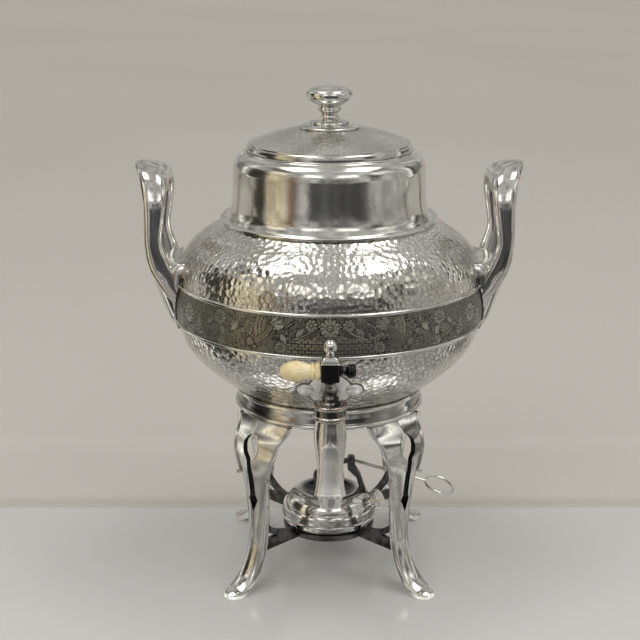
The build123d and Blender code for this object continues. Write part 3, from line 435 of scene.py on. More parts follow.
def surface(name, grid, close_rows=False, close_columns=True, sharp=38):
    """Mesh of a grid of points in millimetres; rows or columns that close join their last line to their first.
    Points that coincide, as at a pole, are merged, and the normals then point out."""
    grid = np.asarray(grid, float) * MM
    rows, columns = grid.shape[:2]
    i = np.arange(rows if close_rows else rows - 1)[:, None]
    j = np.arange(columns if close_columns else columns - 1)[None]
    up, right = (i + 1) % rows, (j + 1) % columns
    corners = [i * columns + j, i * columns + right, up * columns + right, up * columns + j]
    faces = np.stack(corners, -1).reshape(-1, 4)
    mesh = bpy.data.meshes.new(name)
    mesh.from_pydata(grid.reshape(-1, 3).tolist(), [], faces.tolist())
    shape = bmesh.new()
    shape.from_mesh(mesh)
    bmesh.ops.remove_doubles(shape, verts=shape.verts, dist=1e-6)
    bmesh.ops.recalc_face_normals(shape, faces=shape.faces)
    shape.to_mesh(mesh)
    shape.free()
    return smoothed(name, mesh, sharp)


def joined(name, things):
    """Several meshes in one object."""
    shape = bmesh.new()
    for thing in things:
        shape.from_mesh(thing.data)
    mesh = bpy.data.meshes.new(name)
    shape.to_mesh(mesh)
    shape.free()
    for thing in things:
        bpy.data.objects.remove(thing)
    return smoothed(name, mesh)


def paint(thing, finish):
    """Give a mesh one finish in place of what it has."""
    thing.data.materials.clear()
    thing.data.materials.append(finish)


def dress(thing, body, slot, finish, *nodes):
    """Give a piece its body and its finish, and hide the nodes that it stands for; the slot is not used."""
    paint(thing, finish)
    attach(thing, body)
    if nodes:
        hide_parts(*nodes)
    return thing


def plated(thing, body, node, finish=plain_silver):
    """Dress a silver-plated piece that stands for one node."""
    return dress(thing, body, "silver_plate", finish, node)


def turned_grid(profile, steps=ROUND, foot=(0, 0, 0), aim=(0, 0, 1)):
    """Profile (r, h) turned about an axis: foot + r (a cos u + b sin u) + h aim, with a and b square to aim."""
    aim = np.asarray(aim, float) / np.linalg.norm(aim)
    side = np.cross(aim, (0, 1, 0) if abs(aim[1]) < 0.9 else (1, 0, 0))
    side /= np.linalg.norm(side)
    other = np.cross(aim, side)
    u = full_turn(steps)[None, :, None]
    profile = np.asarray(profile, float)
    r, h = profile[:, 0][:, None, None], profile[:, 1][:, None, None]
    return np.asarray(foot, float) + r * (np.cos(u) * side + np.sin(u) * other) + h * aim


def turned(name, profile, closed=True, **place):
    """Turned surface from a closed profile, or with closed=False from one that starts and ends on the axis."""
    return surface(name, turned_grid(profile, **place), close_rows=closed)


def capped(grid, first, last):
    """Rings closed at both ends by drawing one more line of points together at a middle."""
    columns = grid.shape[1]
    return np.concatenate([np.repeat(first, columns, 1), grid, np.repeat(last, columns, 1)])


def tube(path, radius, name="tube", closed=False):
    """Circle of the given radius carried along a path; its frame turns as little as it can."""
    path = np.asarray(path, float)
    run = np.gradient(path, axis=0)
    if closed:
        run = np.roll(path, -1, 0) - np.roll(path, 1, 0)
    run /= np.linalg.norm(run, axis=1)[:, None]
    start = np.cross(run[0], (0, 0, 1) if abs(run[0][2]) < 0.9 else (0, 1, 0))
    side = np.empty_like(path)
    for i, along in enumerate(run):
        start = start - along * start.dot(along)
        start /= np.linalg.norm(start)
        side[i] = start
    other = np.cross(run, side)
    u = full_turn(16)[None, :, None]
    radius = np.broadcast_to(radius, len(path))[:, None, None]
    grid = path[:, None] + radius * (np.cos(u) * side[:, None] + np.sin(u) * other[:, None])
    if not closed:
        grid = capped(grid, path[:1, None], path[-1:, None])
    return surface(name, grid, close_rows=closed, sharp=50)


def about_z(grid, angle):
    """Turn points about the urn's axis."""
    c, s = cos(radians(angle)), sin(radians(angle))
    return grid @ np.array([[c, s, 0], [-s, c, 0], [0, 0, 1]])


# Urn body
URN_HALVES = ("urn_bowl", "urn_shoulder")
belly_points = np.array([
    (56.0, 158.0), (67.0, 159.1), (75.5, 162.0), (84.0, 167.2), (94.0, 175.2), (104.0, 183.6),
    (113.5, 193.2), (121.0, 204.5), (125.8, 219.0), (127.6, 237.0), (125.4, 254.5), (123.0, 268.5),
    (116.2, 281.1), (105.0, 290.7), (94.8, 297.3), (SHOULDER_R, SHOULDER_Z),
])
belly_curve = flowing(belly_points, 10)
belly_inside = offset(belly_curve, 1.6)[::-6]
shell = turned("urn_belly", np.vstack([belly_curve, belly_inside, [(0, 159.6), (0, 158.0)]]), steps=256)
dress(shell, "urn", "hammered_silver", belly_silver, *URN_HALVES)


def belly_radius(z):
    """Radius of the belly's outer face at a height."""
    return np.interp(z, belly_curve[:, 1], belly_curve[:, 0])


def ring_bead(name, radius, z, size, body, node):
    """Half-round moulding: a small circle turned about the axis."""
    u = full_turn(16)
    bead = turned(name, np.stack([radius + size * np.cos(u), z + size * np.sin(u)], 1), steps=256)
    plated(bead, body, node)


ring_bead("band_edge_upper", BELLY_R - 1.4, BAND_HIGH_Z, 1.5, "urn", "band_bead_upper")
ring_bead("band_edge_lower", BELLY_R - 0.8, BAND_LOW_Z, 1.5, "urn", "band_bead_lower")
ring_bead("stand_edge_upper", RING_OUT_R - 0.1, RING_HIGH_Z - 2.0, 1.8, "stand", "ring_bead_upper")
ring_bead("stand_edge_lower", RING_OUT_R + 0.3, RING_LOW_Z + 2.2, 2.1, "stand", "ring_bead_lower")

neck_curve = np.vstack([
    flowing([(84.3, NECK_BASE_Z), (80.9, 311.7), (79.4, 321.7), (78.9, 336.0), (78.4, 346.2)], 8),
    flowing([(78.4, 346.2), (77.3, 350.4), (75.56, 353.52), (72.8, 356.2), (69.3, 358.2)], 6)[1:],
])
mouth_line = [(69.3, 358.2), (68.5, LEDGE_Z), (MOUTH_R, LEDGE_Z), (MOUTH_R, 357.6), (68.4, 356.6)]
neck_profile = np.vstack([
    neck_curve,
    rounded(mouth_line, 0.5, False)[1:],
    offset(neck_curve, 1.6)[::-1][4:],
])
plated(turned("neck", neck_profile), "urn", "neck_collar", neck_silver)
rim_line = [
    (88.4, SHOULDER_Z), (81.7, SHOULDER_Z), (81.7, NECK_BASE_Z), (88.4, NECK_BASE_Z), (89.7, 304.9),
    (89.95, 304.1), (89.7, 303.3),
]
plated(turned("neck_rim", rounded(rim_line, 0.4)), "urn", "neck_base_rim")

lid_line = [
    (64.4, DOME_EDGE_Z), (DOME_R, DOME_EDGE_Z), (65.9, 364.6), (66.9, 363.9), (67.3, 362.5), (67.6, 361.5),
    (67.6, LID_Z), (65.0, LID_Z),
]
plated(turned("lid_border", rounded(lid_line, 0.3)), "lid", "lid_edge")

ball_r = (DOME_R**2 + DOME_RISE**2) / (2 * DOME_RISE)


def dome_height(r):
    """Height of the lid's dome, a slice of a ball."""
    return DOME_TOP_Z - ball_r + np.sqrt(ball_r**2 - np.asarray(r, float) ** 2)


r_out = np.linspace(2.5, DOME_R, 40)
r_in = np.linspace(61.8, 2.5, 16)
dome_profile = np.vstack(
    [np.stack([r_out, dome_height(r_out)], 1), np.stack([r_in, dome_height(r_in) - 1.3], 1)]
)
dress(turned("lid_crown", dome_profile), "lid", "hammered_silver", lid_silver, "lid_dome")

plate_in = np.linspace(24.2, 2.5, 6)
plate_profile = np.vstack([
    rounded(
        [(24.2, float(dome_height(24.2))), (25.2, float(dome_height(25.2)) + 0.9),
         (24.6, float(dome_height(25.2)) + 1.9), (18.2, 380.4), (16.2, PLATE_TOP_Z), (2.5, PLATE_TOP_Z)],
        0.5, False,
    ),
    np.stack([plate_in[::-1], dome_height(plate_in[::-1])], 1)[:-1],
])
plated(turned("knob_seat", plate_profile), "lid", "knob_plate")
knob_profile = np.vstack([
    rounded(
        [(0, 372.7), (2.5, 372.7), (2.5, PLATE_TOP_Z), (15.8, PLATE_TOP_Z), (16.2, 381.5), (15.7, 382.4)],
        0.4, False,
    ),
    flowing([(15.7, 382.4), (9.8, 384.0), (7.0, 387.0), (7.4, 390.0)], 6)[1:],
    flowing([(7.4, 390.0), (8.9, 390.8), (9.6, 392.2), (8.9, 393.6), (8.8, 394.8)], 4)[1:],
    flowing(
        [(8.8, 394.8), (14.3, 397.9), (17.9, 401.2), (18.9, 404.6), (17.0, 407.6), (12.9, 409.2), (6.5, 410.3),
         (0, 410.6)],
        8,
    )[1:],
])
plated(turned("knob", knob_profile, closed=False, steps=96), "lid", "lid_knob")

ring_line = [
    (RING_IN_R, RING_LOW_Z), (RING_OUT_R, RING_LOW_Z), (76.6, 153.8), (RING_OUT_R, 161.6), (RING_IN_R, 160.6),
]
plated(turned("stand_band", rounded(ring_line, 0.4)), "stand", "stand_ring", ring_silver)


# Engraved band
PANEL = 2 * pi * BELLY_R / 6
PANEL_STEPS = 261


def band_piece():
    """Outer face of the band at radius R(z) + proud, on a grid of angle and height; the pattern is a height field
    drawn on one panel and mirrored from panel to panel."""
    columns, rows = 1560, 56
    z = np.linspace(BAND_LOW_Z + 0.6, BAND_HIGH_Z - 0.6, rows)
    u = np.linspace(-pi, pi, columns, endpoint=False)
    radius = belly_radius(z) + BAND_PROUD
    panel = engraving(*np.meshgrid(np.linspace(0, PANEL, PANEL_STEPS), z - (BAND_LOW_Z + BAND_HIGH_Z) / 2))
    folded = PANEL - np.abs(np.abs(u * BELLY_R) % (2 * PANEL) - PANEL)
    field = panel[:, np.round(folded / PANEL * (PANEL_STEPS - 1)).astype(int)]
    x, y = radius[:, None] * np.sin(u)[None], -radius[:, None] * np.cos(u)[None]
    grid = np.stack([x, y, np.repeat(z[:, None], columns, 1)], -1)
    piece = surface("engraved_band", grid, sharp=180)
    cut = piece.data.attributes.new("cut", "FLOAT", "POINT")
    cut.data.foreach_set("value", field.ravel().astype(np.float32))
    return dress(piece, "urn", "engraved_band", band_plate, "belly_band")


def engraving(x, y):
    """Height field of one panel: 0 is a cut line, 0.5 smooth ground and 1 a raised figure.
    Petals are roses |cos|, blades and leaves are lens shapes, stems keep a set distance from a curve."""
    field = np.full(x.shape, 0.3)

    def draw(solid, edge, level=0.95):
        field[edge] = 0.03
        field[solid & ~edge] = level

    def flower(cx, cy, radius, count, turn=0.0):
        far, angle = np.hypot(x - cx, y - cy), np.arctan2(y - cy, x - cx) + turn
        wave = np.abs(np.cos(angle * count / 2))
        reach = radius * (0.6 + 0.4 * wave)
        veins = (far > radius * 0.35) & (far < reach) & (wave < 0.3)
        draw(far < reach, (np.abs(far - reach) < 0.55) | veins)
        draw(far < radius * 0.22, np.abs(far - radius * 0.3) < 0.4, 0.8)

    def leaf(cx, cy, size, turn, plump=0.26, level=0.95):
        px, py = x - cx, y - cy
        along, across = px * cos(turn) + py * sin(turn), py * cos(turn) - px * sin(turn)
        half = size * plump * np.sin(np.pi * np.clip(along / size, 0, 1)) ** 0.8
        inside = (along > 0) & (along < size) & (np.abs(across) < half + 0.5)
        draw(inside & (np.abs(across) < half), inside & (np.abs(across) >= half), level)

    def stem(points, width=0.4):
        far = np.full(x.shape, 9.0)
        for cx, cy in flowing(points, 14):
            far = np.minimum(far, np.hypot(x - cx, y - cy))
        draw(far < width, np.abs(far - width - 0.4) < 0.4)

    def bird(cx, cy, size, turn):
        ahead, beside = cos(turn) * size, sin(turn) * size
        for fan in (-0.4, 0.0, 0.4):
            leaf(cx - 0.36 * ahead, cy - 0.36 * beside, size * 0.4, turn + pi + fan, 0.17, 0.9)
        leaf(cx - 0.5 * ahead, cy - 0.5 * beside, size, turn, 0.15, 0.68)
        for feather in range(3):
            back = 0.12 * feather - 0.12
            leaf(cx - back * ahead, cy - back * beside, size * (0.62 - 0.1 * feather), turn + 2.3, 0.13, 0.8)
        far = np.hypot(x - cx - 0.33 * ahead, y - cy - 0.33 * beside)
        draw(far < 0.11 * size, np.abs(far - 0.12 * size) < 0.4, 0.75)

    spread = np.random.default_rng(7)
    for _ in range(95):
        cx, cy, lean = spread.uniform(-3, PANEL), spread.uniform(-14, 14), spread.uniform(0, 2 * pi)
        for blade in range(5):
            leaf(cx, cy, spread.uniform(3.2, 5.6), lean + (blade - 2) * 0.5, 0.15, spread.uniform(0.55, 1.0))
    brick = (x > 5) & (x < 33 - y) & (y < -1)
    bond = ((y // 2.6) % 2) * 2.6
    field[brick] = 0.8
    field[brick & ((np.abs(y % 2.6 - 1.3) > 0.85) | ((x + bond) % 5.2 < 0.9))] = 0.03
    stem([(3, 12), (12, 6), (24, -1), (38, -3), (52, 6), (66, 12)])
    stem([(38, -3), (34, 6), (26, 12)])
    stem([(78, 13), (84, 4), (96, -2), (110, -6), (124, -12)])
    stem([(110, -6), (118, 3), (128, 8)])
    for j in range(9):
        leaf(20.0 + 13.4 * j, (-1) ** j * 6.0, 8.0 + j % 3, 1.1 if j % 2 else -0.8, 0.24)
    flower(0.0, 7.0, 8.2, 12)
    flower(14.0, 9.0, 5.4, 8, 0.3)
    flower(38.0, -9.0, 5.4, 9, 0.1)
    flower(92.0, 7.5, 7.0, 11, 0.2)
    flower(PANEL, 2.0, 8.4, 12)
    flower(117.0, -7.0, 5.6, 8, 0.4)
    bird(55.0, -1.0, 30.0, -0.62)
    bird(102.0, -4.5, 22.0, 0.45)
    field[np.abs(y) > 15.0] = 0.1
    return field


band_piece()


# Handles
limb = np.array([
    # centre x, y, z, width, thickness and lean
    (119, -27, 236, 13, 11, 44),
    (124.5, -29, 245.5, 15, 11, 38),
    (131.4, -31, 258, 17, 11, 28),
    (137.6, -33.5, 271.5, 17, 11, 16),
    (141.3, -35.5, 289, 14, 10.5, 2),
    (140.3, -36, 307, 15.6, 10, -3),
    (139.4, -34, 324, 18.6, 10, 0),
    (141, -22, 340, 23, 9.6, 8),
    (143.4, 0, 345.4, 29.5, 8, 14),
])


def loop_grid():
    """Rounded strap along an upright U: section (w/2 |cos|^p, t/2 |sin|^p) in a plane square to the path."""
    back = limb[:-1][::-1] * (1, -1, 1, 1, 1, 1)
    path = flowing(np.vstack([limb, back]), 9)
    centre, width, thick, lean = path[:, :3], path[:, 3], path[:, 4], np.radians(path[:, 5])
    run = np.gradient(centre, axis=0)
    run /= np.linalg.norm(run, axis=1)[:, None]
    across = np.stack([np.cos(lean), 0 * lean, np.sin(lean)], 1)
    across -= run * (across * run).sum(1)[:, None]
    across /= np.linalg.norm(across, axis=1)[:, None]
    through = np.cross(run, across)
    u = full_turn(40)
    c = np.sign(np.cos(u)) * np.abs(np.cos(u)) ** 0.86
    s = np.sign(np.sin(u)) * np.abs(np.sin(u)) ** 0.86
    grid = (
        centre[:, None]
        + (width / 2)[:, None, None] * c[None, :, None] * across[:, None]
        + (thick / 2)[:, None, None] * s[None, :, None] * through[:, None]
    )
    crown = np.clip((centre[:, 2] - 326) / 18, 0, 1)[:, None]
    grid[..., 2] -= crown * 5.0 * np.clip(-c - 0.1, 0, 1)[None] ** 2
    return grid


def shield_grid():
    """Shell that clasps the belly: at each height an arc from its front edge over the outside to its back."""
    stations = flowing(
        [
            (209.5, 125.0, 4.0), (212.5, 129.0, 13.0), (222.0, 134.2, 23.0), (236.0, 139.6, 31.0),
            (250.0, 144.6, 36.0), (258.0, 145.6, 37.0), (264.5, 144.4, 36.6), (269.0, 140.8, 35.4),
            (271.4, 135.6, 34.0), (272.4, 129.0, 32.6),
        ],
        8,
    )
    z, outer, half = stations.T
    u = np.linspace(0, pi, 40)
    inner = belly_radius(z) - 3.0
    x = inner[:, None] + (outer - inner)[:, None] * np.sin(u)[None] ** 0.7
    y = half[:, None] * np.cos(u)[None]
    x = x - (np.abs(y) / BELLY_R) ** 2 * BELLY_R * 0.5
    return np.stack([x, y, np.repeat(z[:, None], len(u), 1)], -1)


for side, name in ((1, "handle_right"), (-1, "handle_left")):
    parts = []
    for grid, rows in ((loop_grid(), "loop"), (shield_grid(), "shield")):
        middle = grid.mean(1)
        grid = capped(grid, middle[:1, None], middle[-1:, None])
        parts.append(surface(name + rows, grid * (side, 1, 1)))
    plated(joined(name + "_loop", parts), "urn", name)
    # Dark tubes on the belly along the shield's front and back edges: a painted shadow where the shield meets the
    # belly.
    front = flowing([(212.0, 13.0), (222.0, 23.4), (236.0, 31.4), (250.0, 36.4), (261.0, 37.6)], 8)
    for way in (1, -1):
        run = np.sqrt((belly_radius(front[:, 0]) + 1.3) ** 2 - front[:, 1] ** 2)
        seam = tube(np.stack([side * run, way * front[:, 1], front[:, 0]], 1), 0.75, name + "_seam")
        dress(seam, "urn", "dark_metal", dark_metal)


# Legs
leg_rows = np.array([
    # edge radius, z, half width, ridge, fold, thickness, tilt, roundness
    (75.6, 145.4, 30, 3.2, 3.2, 4.2, 0, 1.1),
    (78.4, 138, 27.4, 7, 7, 4.2, 0, 1.1),
    (84.4, 130, 24.2, 7.4, 7.4, 4.2, 0, 1.15),
    (87.4, 120, 22.8, 5.6, 5.6, 4.2, 0, 1.2),
    (88.2, 108, 18.2, 4.4, 4.4, 4.2, 0, 1.3),
    (87, 92, 14, 3.2, 3, 4.6, 0, 1.5),
    (86, 74, 11.2, 2.6, 1.6, 6.3, 0, 1.8),
    (86.4, 55, 9.2, 2.6, 0.8, 7.5, 0, 2),
    (87.6, 40, 8.7, 2.4, 0.1, 7.5, 10, 2),
    (91.6, 26, 8.6, 2.2, 0.1, 7.1, 24, 2),
    (99, 13.6, 8.9, 2, 0.1, 6.8, 48, 2),
    (108.6, 6.2, 9, 1.6, 0.1, 6.2, 76, 2),
    (115, 4.4, 7.6, 1.4, 0.1, 4.4, 88, 2),
    (118.6, 3.4, 4, 0.8, 0.1, 3.2, 94, 2),
])


def slot_half(z):
    """Half width of the pierced slot at a height."""
    return np.interp(z, *zip(*SLOT_HALF))


def leg_grid(side):
    """Half a leg: at each station a loop over the face from slot to edge, round that and back inside."""
    rows = flowing(leg_rows, 12)
    radius, z, half, ridge, fold, thick, tilt, power = rows.T[:, :, None]
    inner = np.clip(slot_half(z) / half, 0, 0.9)
    t = np.linspace(0, 1, 12)[None]
    share = inner + (1 - inner) * t
    front = ridge * (1 - share**power)
    rear = -thick + fold * (1 - share**power)
    lip = np.linspace(-pi / 2, pi / 2, 7)[None, ::-1][:, 1:-1]
    lip_side = half + np.cos(lip) * 0.9 - 0.9
    lip_out = -thick / 2 + thick / 2 * np.sin(lip)
    face = share * (half - 0.9)
    side_way = np.concatenate([face, lip_side, face[:, ::-1]], 1)
    outward = np.concatenate([front, lip_out, rear[:, ::-1]], 1)
    lean = np.radians(tilt)
    x = radius + outward * np.cos(lean)
    height = z + outward * np.sin(lean)
    grid = np.stack([x, side * side_way, np.maximum(height, 0.05)], -1)
    return np.concatenate([grid, np.repeat(grid[-1:].mean(1)[:, None], grid.shape[1], 1)])


def leg_edges():
    """Raised rim from the ring down to a small curl on each side of the knee."""
    rows = flowing(leg_rows[:6], 10)
    keep = rows[:, 1] > 99.0
    made = []
    for side in (1, -1):
        path = np.stack([rows[keep, 0] + 0.2, side * (rows[keep, 2] - 0.4), rows[keep, 1]], 1)
        curl = path[-1] + np.array([(0.4, side * 1.2, -1.6), (0.2, side * 2.6, -1.4), (0.0, side * 3.0, 0.2)])
        path = flowing(np.vstack([path[::6], path[-1:], curl]), 6)
        size = np.concatenate([np.full(len(path) - 14, 1.25), np.linspace(1.3, 1.8, 14)])
        made.append((path, size))
    return made


for place, angle in LEG_ANGLES.items():
    parts = [surface(place + tag, about_z(leg_grid(side), angle)) for side, tag in ((1, "l"), (-1, "r"))]
    parts += [tube(about_z(path, angle), size) for path, size in leg_edges()]
    plated(joined("leg_sheet_" + place, parts), "stand", "leg_" + place, leg_silver)

cradle_line = [(33.0, 29.8), (39.4, 29.8), (39.4, 34.8), (33.0, 34.8)]
dress(turned("lamp_ring", rounded(cradle_line, 1.0)), "stand", "dark_metal", dark_metal, "cradle_ring")

# Lamp
pan_line = [
    (0, 32.1), (32.7, 32.1), (32.7, LAMP_Z), (38.0, LAMP_Z), (PAN_R, 37.7), (PAN_R, PAN_TOP_Z),
    (38.2, PAN_TOP_Z), (38.2, 38.3), (37.2, 36.3), (31.5, 36.3), (31.5, 33.3), (0, 33.3),
]
plated(turned("lamp_bowl", rounded(pan_line, 0.6, False), closed=False), "lamp", "lamp_pan", ring_silver)
ring_bead("lamp_bead", PAN_R, LAMP_Z + 6.6, 1.4, "lamp", "lamp_rim")
dome_line = [
    (37.0, 50.2), (36.4, 54.0), (33.6, 59.0), (28.0, 62.7), (22.5, CREST_Z), (17.5, 61.1), (11.5, 59.5),
    (5.5, 59.3),
]
dome_line = flowing(dome_line, 7)
under = offset(dome_line, 1.2)[::-1][::3]
cover = np.vstack([dome_line, [(5.5, 58.1)], under[1:], [(35.8, PAN_TOP_Z), (PAN_R, PAN_TOP_Z), (PAN_R, 50.2)]])
plated(turned("lamp_cover", cover), "lamp", "lamp_dome", shaded_centre_silver)

wick_line = [(3.6, 47.5), (5.5, 47.5), (5.5, 72.0), (3.6, 72.0)]
dress(turned("wick_holder", rounded(wick_line, 0.5), steps=64), "lamp", "dark_metal", dark_metal, "wick_tube")
wick_tip = rounded([(0, 41.5), (3.6, 41.5), (3.6, 73.6), (0, 73.6)], 1.2, False)
dress(turned("wick_end", wick_tip, closed=False, steps=48), "lamp", "wick_cotton", cotton, "wick")

FILL_AZ, FILL_TILT = radians(-14.0), radians(30.0)
fill_foot = (28.0 * cos(FILL_AZ), 28.0 * sin(FILL_AZ), 48.0)
fill_aim = (cos(FILL_TILT) * cos(FILL_AZ), cos(FILL_TILT) * sin(FILL_AZ), sin(FILL_TILT))
pipe = [(3.6, 4.0), (4.6, 4.0), (4.6, 19.5), (3.6, 19.5)]
filler = turned("filler_pipe", rounded(pipe, 0.3), steps=64, foot=fill_foot, aim=fill_aim)
plated(filler, "lamp", "filler_neck")


def knurled(profile, ribs, depth, low, high, **place):
    """Turned cap whose radius is pressed in by a cosine of the angle between two heights."""
    grid = turned_grid(profile, steps=ribs * 6, **place)
    foot, aim = np.asarray(place["foot"], float), np.asarray(place["aim"], float)
    rise = (grid - foot) @ aim
    spoke = grid - foot - rise[..., None] * aim
    far = np.linalg.norm(spoke, axis=-1)
    u = full_turn(ribs * 6)[None]
    press = depth * (0.5 + 0.5 * np.cos(u * ribs)) * (far > 8.2) * (rise > low) * (rise < high)
    return grid - spoke * (press / np.maximum(far, 0.1))[..., None]


cap_line = rounded(
    [(0, 19.9), (4.9, 19.9), (4.9, 14.8), (8.6, 14.8), (8.6, 20.2), (7.4, 21.2), (3.0, 21.2), (0, 21.2)],
    0.5, False, 4,
)
cap_line = np.vstack([cap_line[:-1], [(0, 21.2)]])
cap_grid = knurled(cap_line, 28, 0.7, 15.6, 20.0, foot=fill_foot, aim=fill_aim)
plated(surface("filler_screw", cap_grid, sharp=60), "filler_cap", "filler_cap")

# Snuffer
snuff_line = np.vstack([
    [(13.5, 69.6), (13.5, 73.0)],
    flowing([(13.5, 75.0), (12.7, 77.6), (10.5, 79.2), (8.0, 80.2), (5.5, 81.0)], 5),
    [(0, 81.0), (0, 80.0), (5.3, 80.0)],
    flowing([(7.5, 79.3), (9.9, 78.3), (11.8, 76.9), (12.5, 75.0)], 4),
    [(12.5, 69.6)],
])
plated(turned("snuffer_hood", snuff_line, steps=96), "snuffer", "snuffer_cap", dusky_silver)

ROD_LENGTH = 67.6
LOOP_R = 12.6
drop = radians(17.3)
rod_way = np.array([cos(drop), 0, -sin(drop)])
ring_mid = PIVOT + rod_way * (ROD_LENGTH + LOOP_R)
lean_way = np.array([sin(drop), -sin(radians(10)), cos(drop)])
lean_way /= np.linalg.norm(lean_way)
ring_side = np.cross(lean_way, rod_way)
turn = full_turn(72)[:, None]
loop = ring_mid + LOOP_R * (np.cos(turn) * rod_way + np.sin(turn) * ring_side)
wire = tube(loop, 1.1, closed=True)
reach = np.linspace(0, 1, 12)[:, None]
rod = tube(PIVOT + rod_way * (3.0 + reach * 64.9), 1.35)
plated(joined("snuffer_wire", [wire, rod]), "snuffer", "snuffer_rod")

# Tap
spout_rows = np.array([
    # forward, z, half width, depth behind, depth in front, tilt and share of the width that the panel takes
    (0, 185, 10.8, 10.8, 10.8, 0, 0),
    (0, 181, 11, 11, 11, 0, 0),
    (-0.4, 173.4, 12.1, 12, 12, 3, 0),
    (-1.2, 167.6, 12.2, 11.8, 11.8, 6, 0.04),
    (-2.2, 162.4, 11.7, 11.2, 11, 9, 0.30),
    (-4.4, 155, 10.6, 9.8, 10, 13, 0.58),
    (-6.6, 148.4, 9.8, 9, 9.6, 17, 0.70),
    (-8.6, 141, 9.9, 8.8, 9.6, 19, 0.78),
    (-10.4, 134.5, 10.5, 9, 9.8, 20, 0.82),
    (-12.4, 128.8, 11.6, 9.8, 10, 20, 0.84),
    (-12.9, 127.2, 11.9, 10, 10.2, 20, 0.84),
])

# The nozzle under the lip: distance along the spout and radius, out to the mouth and back up its bore
SPOUT_LEAN = radians(20.0)
NOZZLE = [
    (0.0, 11.4), (0.7, 10.6), (1.4, 9.4), (1.9, 8.9), (3.2, 8.7), (9.0, 7.6), (9.5, 7.2), (9.3, 6.6), (4.0, 4.2),
    (-2.0, 4.2), (-2.0, 0.0),
]


def spout_grid():
    """Sections down a bent line: half an ellipse behind, and in front two walls (w s + w (1 - s) cos t, d sin t)
    that a gently bowed panel of share s of the width joins, so an arch grows towards the lip."""
    rows = flowing(spout_rows, 8)
    forward, z, wide, behind, before, tilt, share = rows.T[:, :, None]
    share = np.clip(share, 0, 1)
    wall = np.linspace(0, 1, 18)[None] * (pi / 2 - 0.45 * np.clip(share * 3, 0, 1))
    bow = np.linspace(1, -1, 13)[None, 1:-1]
    rear = np.linspace(pi, 2 * pi, 40)[None, 1:-1]
    wall_x, wall_y = wide * (share + (1 - share) * np.cos(wall)), before * np.sin(wall)
    edge_x, edge_y = wall_x[:, -1:], wall_y[:, -1:]
    side = np.concatenate([wall_x, edge_x * bow, -wall_x[:, ::-1], wide * np.cos(rear)], 1)
    rise = np.clip(share * 4, 0, 1) * 1.3 + (before - edge_y)
    bowed = edge_y + rise * (1 - bow**2) ** 0.6
    front = np.concatenate([wall_y, bowed, wall_y[:, ::-1], behind * np.sin(rear)], 1)
    lean = np.radians(tilt)
    body = np.stack([side, TAP_Y + forward - front * np.cos(lean), z + front * np.sin(lean)], -1)
    lean = SPOUT_LEAN
    around = np.arctan2(front[-1] / before[-1], side[-1] / wide[-1])[:, None]
    made = [body]
    for back, size in NOZZLE:
        mid = np.array([0, TAP_Y - 12.9 - back * sin(lean), 127.2 - back * cos(lean)])
        up = np.array([0, -cos(lean), sin(lean)])
        made.append((mid + size * (np.cos(around) * np.array([1.0, 0, 0]) + np.sin(around) * up))[None])
    return np.concatenate(made)


housing = np.vstack([
    [(0, 182.0)],
    rounded(
        [(10.4, 182.0), (11.6, HOUSING_Z), (12.9, 184.0), (13.2, 185.2), (12.9, 186.4), (12.1, 187.0),
         (12.1, 192.4), (13.1, 193.4), (13.3, 194.9), (12.4, RIM_Z), (7.88, RIM_Z), (7.6, 191.0)],
        0.5, False,
    ),
    [(0, 191.0)],
])
tap_parts = [
    surface("spout", spout_grid(), sharp=24),
    turned("housing", housing, closed=False, steps=128, foot=(0, TAP_Y, 0)),
    turned("barrel", [(0, 0), (8.4, 0), (8.4, 45.0), (0, 45.0)], closed=False, steps=64,
           foot=(0, TAP_Y, TAP_AXIS_Z), aim=(0, 1, 0)),
]
dress(joined("tap_casting", tap_parts), "urn", "worn_plate", tap_plate, "tap_body")


def rosette(name, grow, rise_mm):
    """A wide boss and three domed lobes laid on the belly: the rise is the greatest of the domes' heights."""
    u = full_turn(216)[None]
    t = np.concatenate([np.linspace(0, 1, 30), [1.0]])[:, None]
    lobes = [(15, 19.5, 6.8), (90, 4.5, 17.2), (165, 19.5, 6.8), (270, 11.5, 9.0)]
    reach = 0 * u
    for angle, far, size in lobes:
        away = np.cos(u - radians(angle))
        chord = (size + grow) ** 2 - far**2 * (1 - away**2)
        reach = np.maximum(reach, np.where(chord > 0, far * away + np.sqrt(np.maximum(chord, 0)), 0))
    x, dz = t * reach * np.cos(u), t * reach * np.sin(u)
    rise = 0 * x
    for angle, far, size in lobes:
        near = np.hypot(x - far * cos(radians(angle)), dz - far * sin(radians(angle))) / (size + grow)
        high = rise_mm * (1.5 if size < 8 else 0.6)
        rise = np.maximum(rise, high * np.sqrt(np.clip(1 - near**2, 0, 1)))
    rise[-1] = -0.6
    z = TAP_AXIS_Z + dz
    y = -np.sqrt(np.maximum((belly_radius(z) + rise) ** 2 - x**2, 1.0))
    return surface(name, np.stack([x, y, z], -1), sharp=60)


plated(rosette("rosette", 0.0, 3.6), "urn", "tap_rosette", lobe_silver)
# A dark sheet a little wider than the rosette: a painted shadow line round the rosette on the belly.
dress(rosette("rosette_shadow_rim", 1.0, 0.5), "urn", "dark_metal", dark_metal)

BLOCK_LOW_Z, BLOCK_HIGH_Z = KEY_Z - 6.9, KEY_Z + 6.9
plug_line = [
    (0, 171.3), (6.2, 171.3), (7.8, 195.9), (7.8, 196.5), (6.5, 197.4), (6.2, 200.4), (4.9, 201.4), (5.5, 203.2),
    (5.3, 205.2), (4.2, 207.8), (4.2, 209.4), (5.0, 211.8), (5.0, BLOCK_LOW_Z), (0, BLOCK_LOW_Z),
]
stalk = turned("tap_stem", rounded(plug_line, 0.8, False), closed=False, steps=64, foot=(0, TAP_Y, 0))
plated(stalk, "tap_key", "tap_plug", dusky_silver)


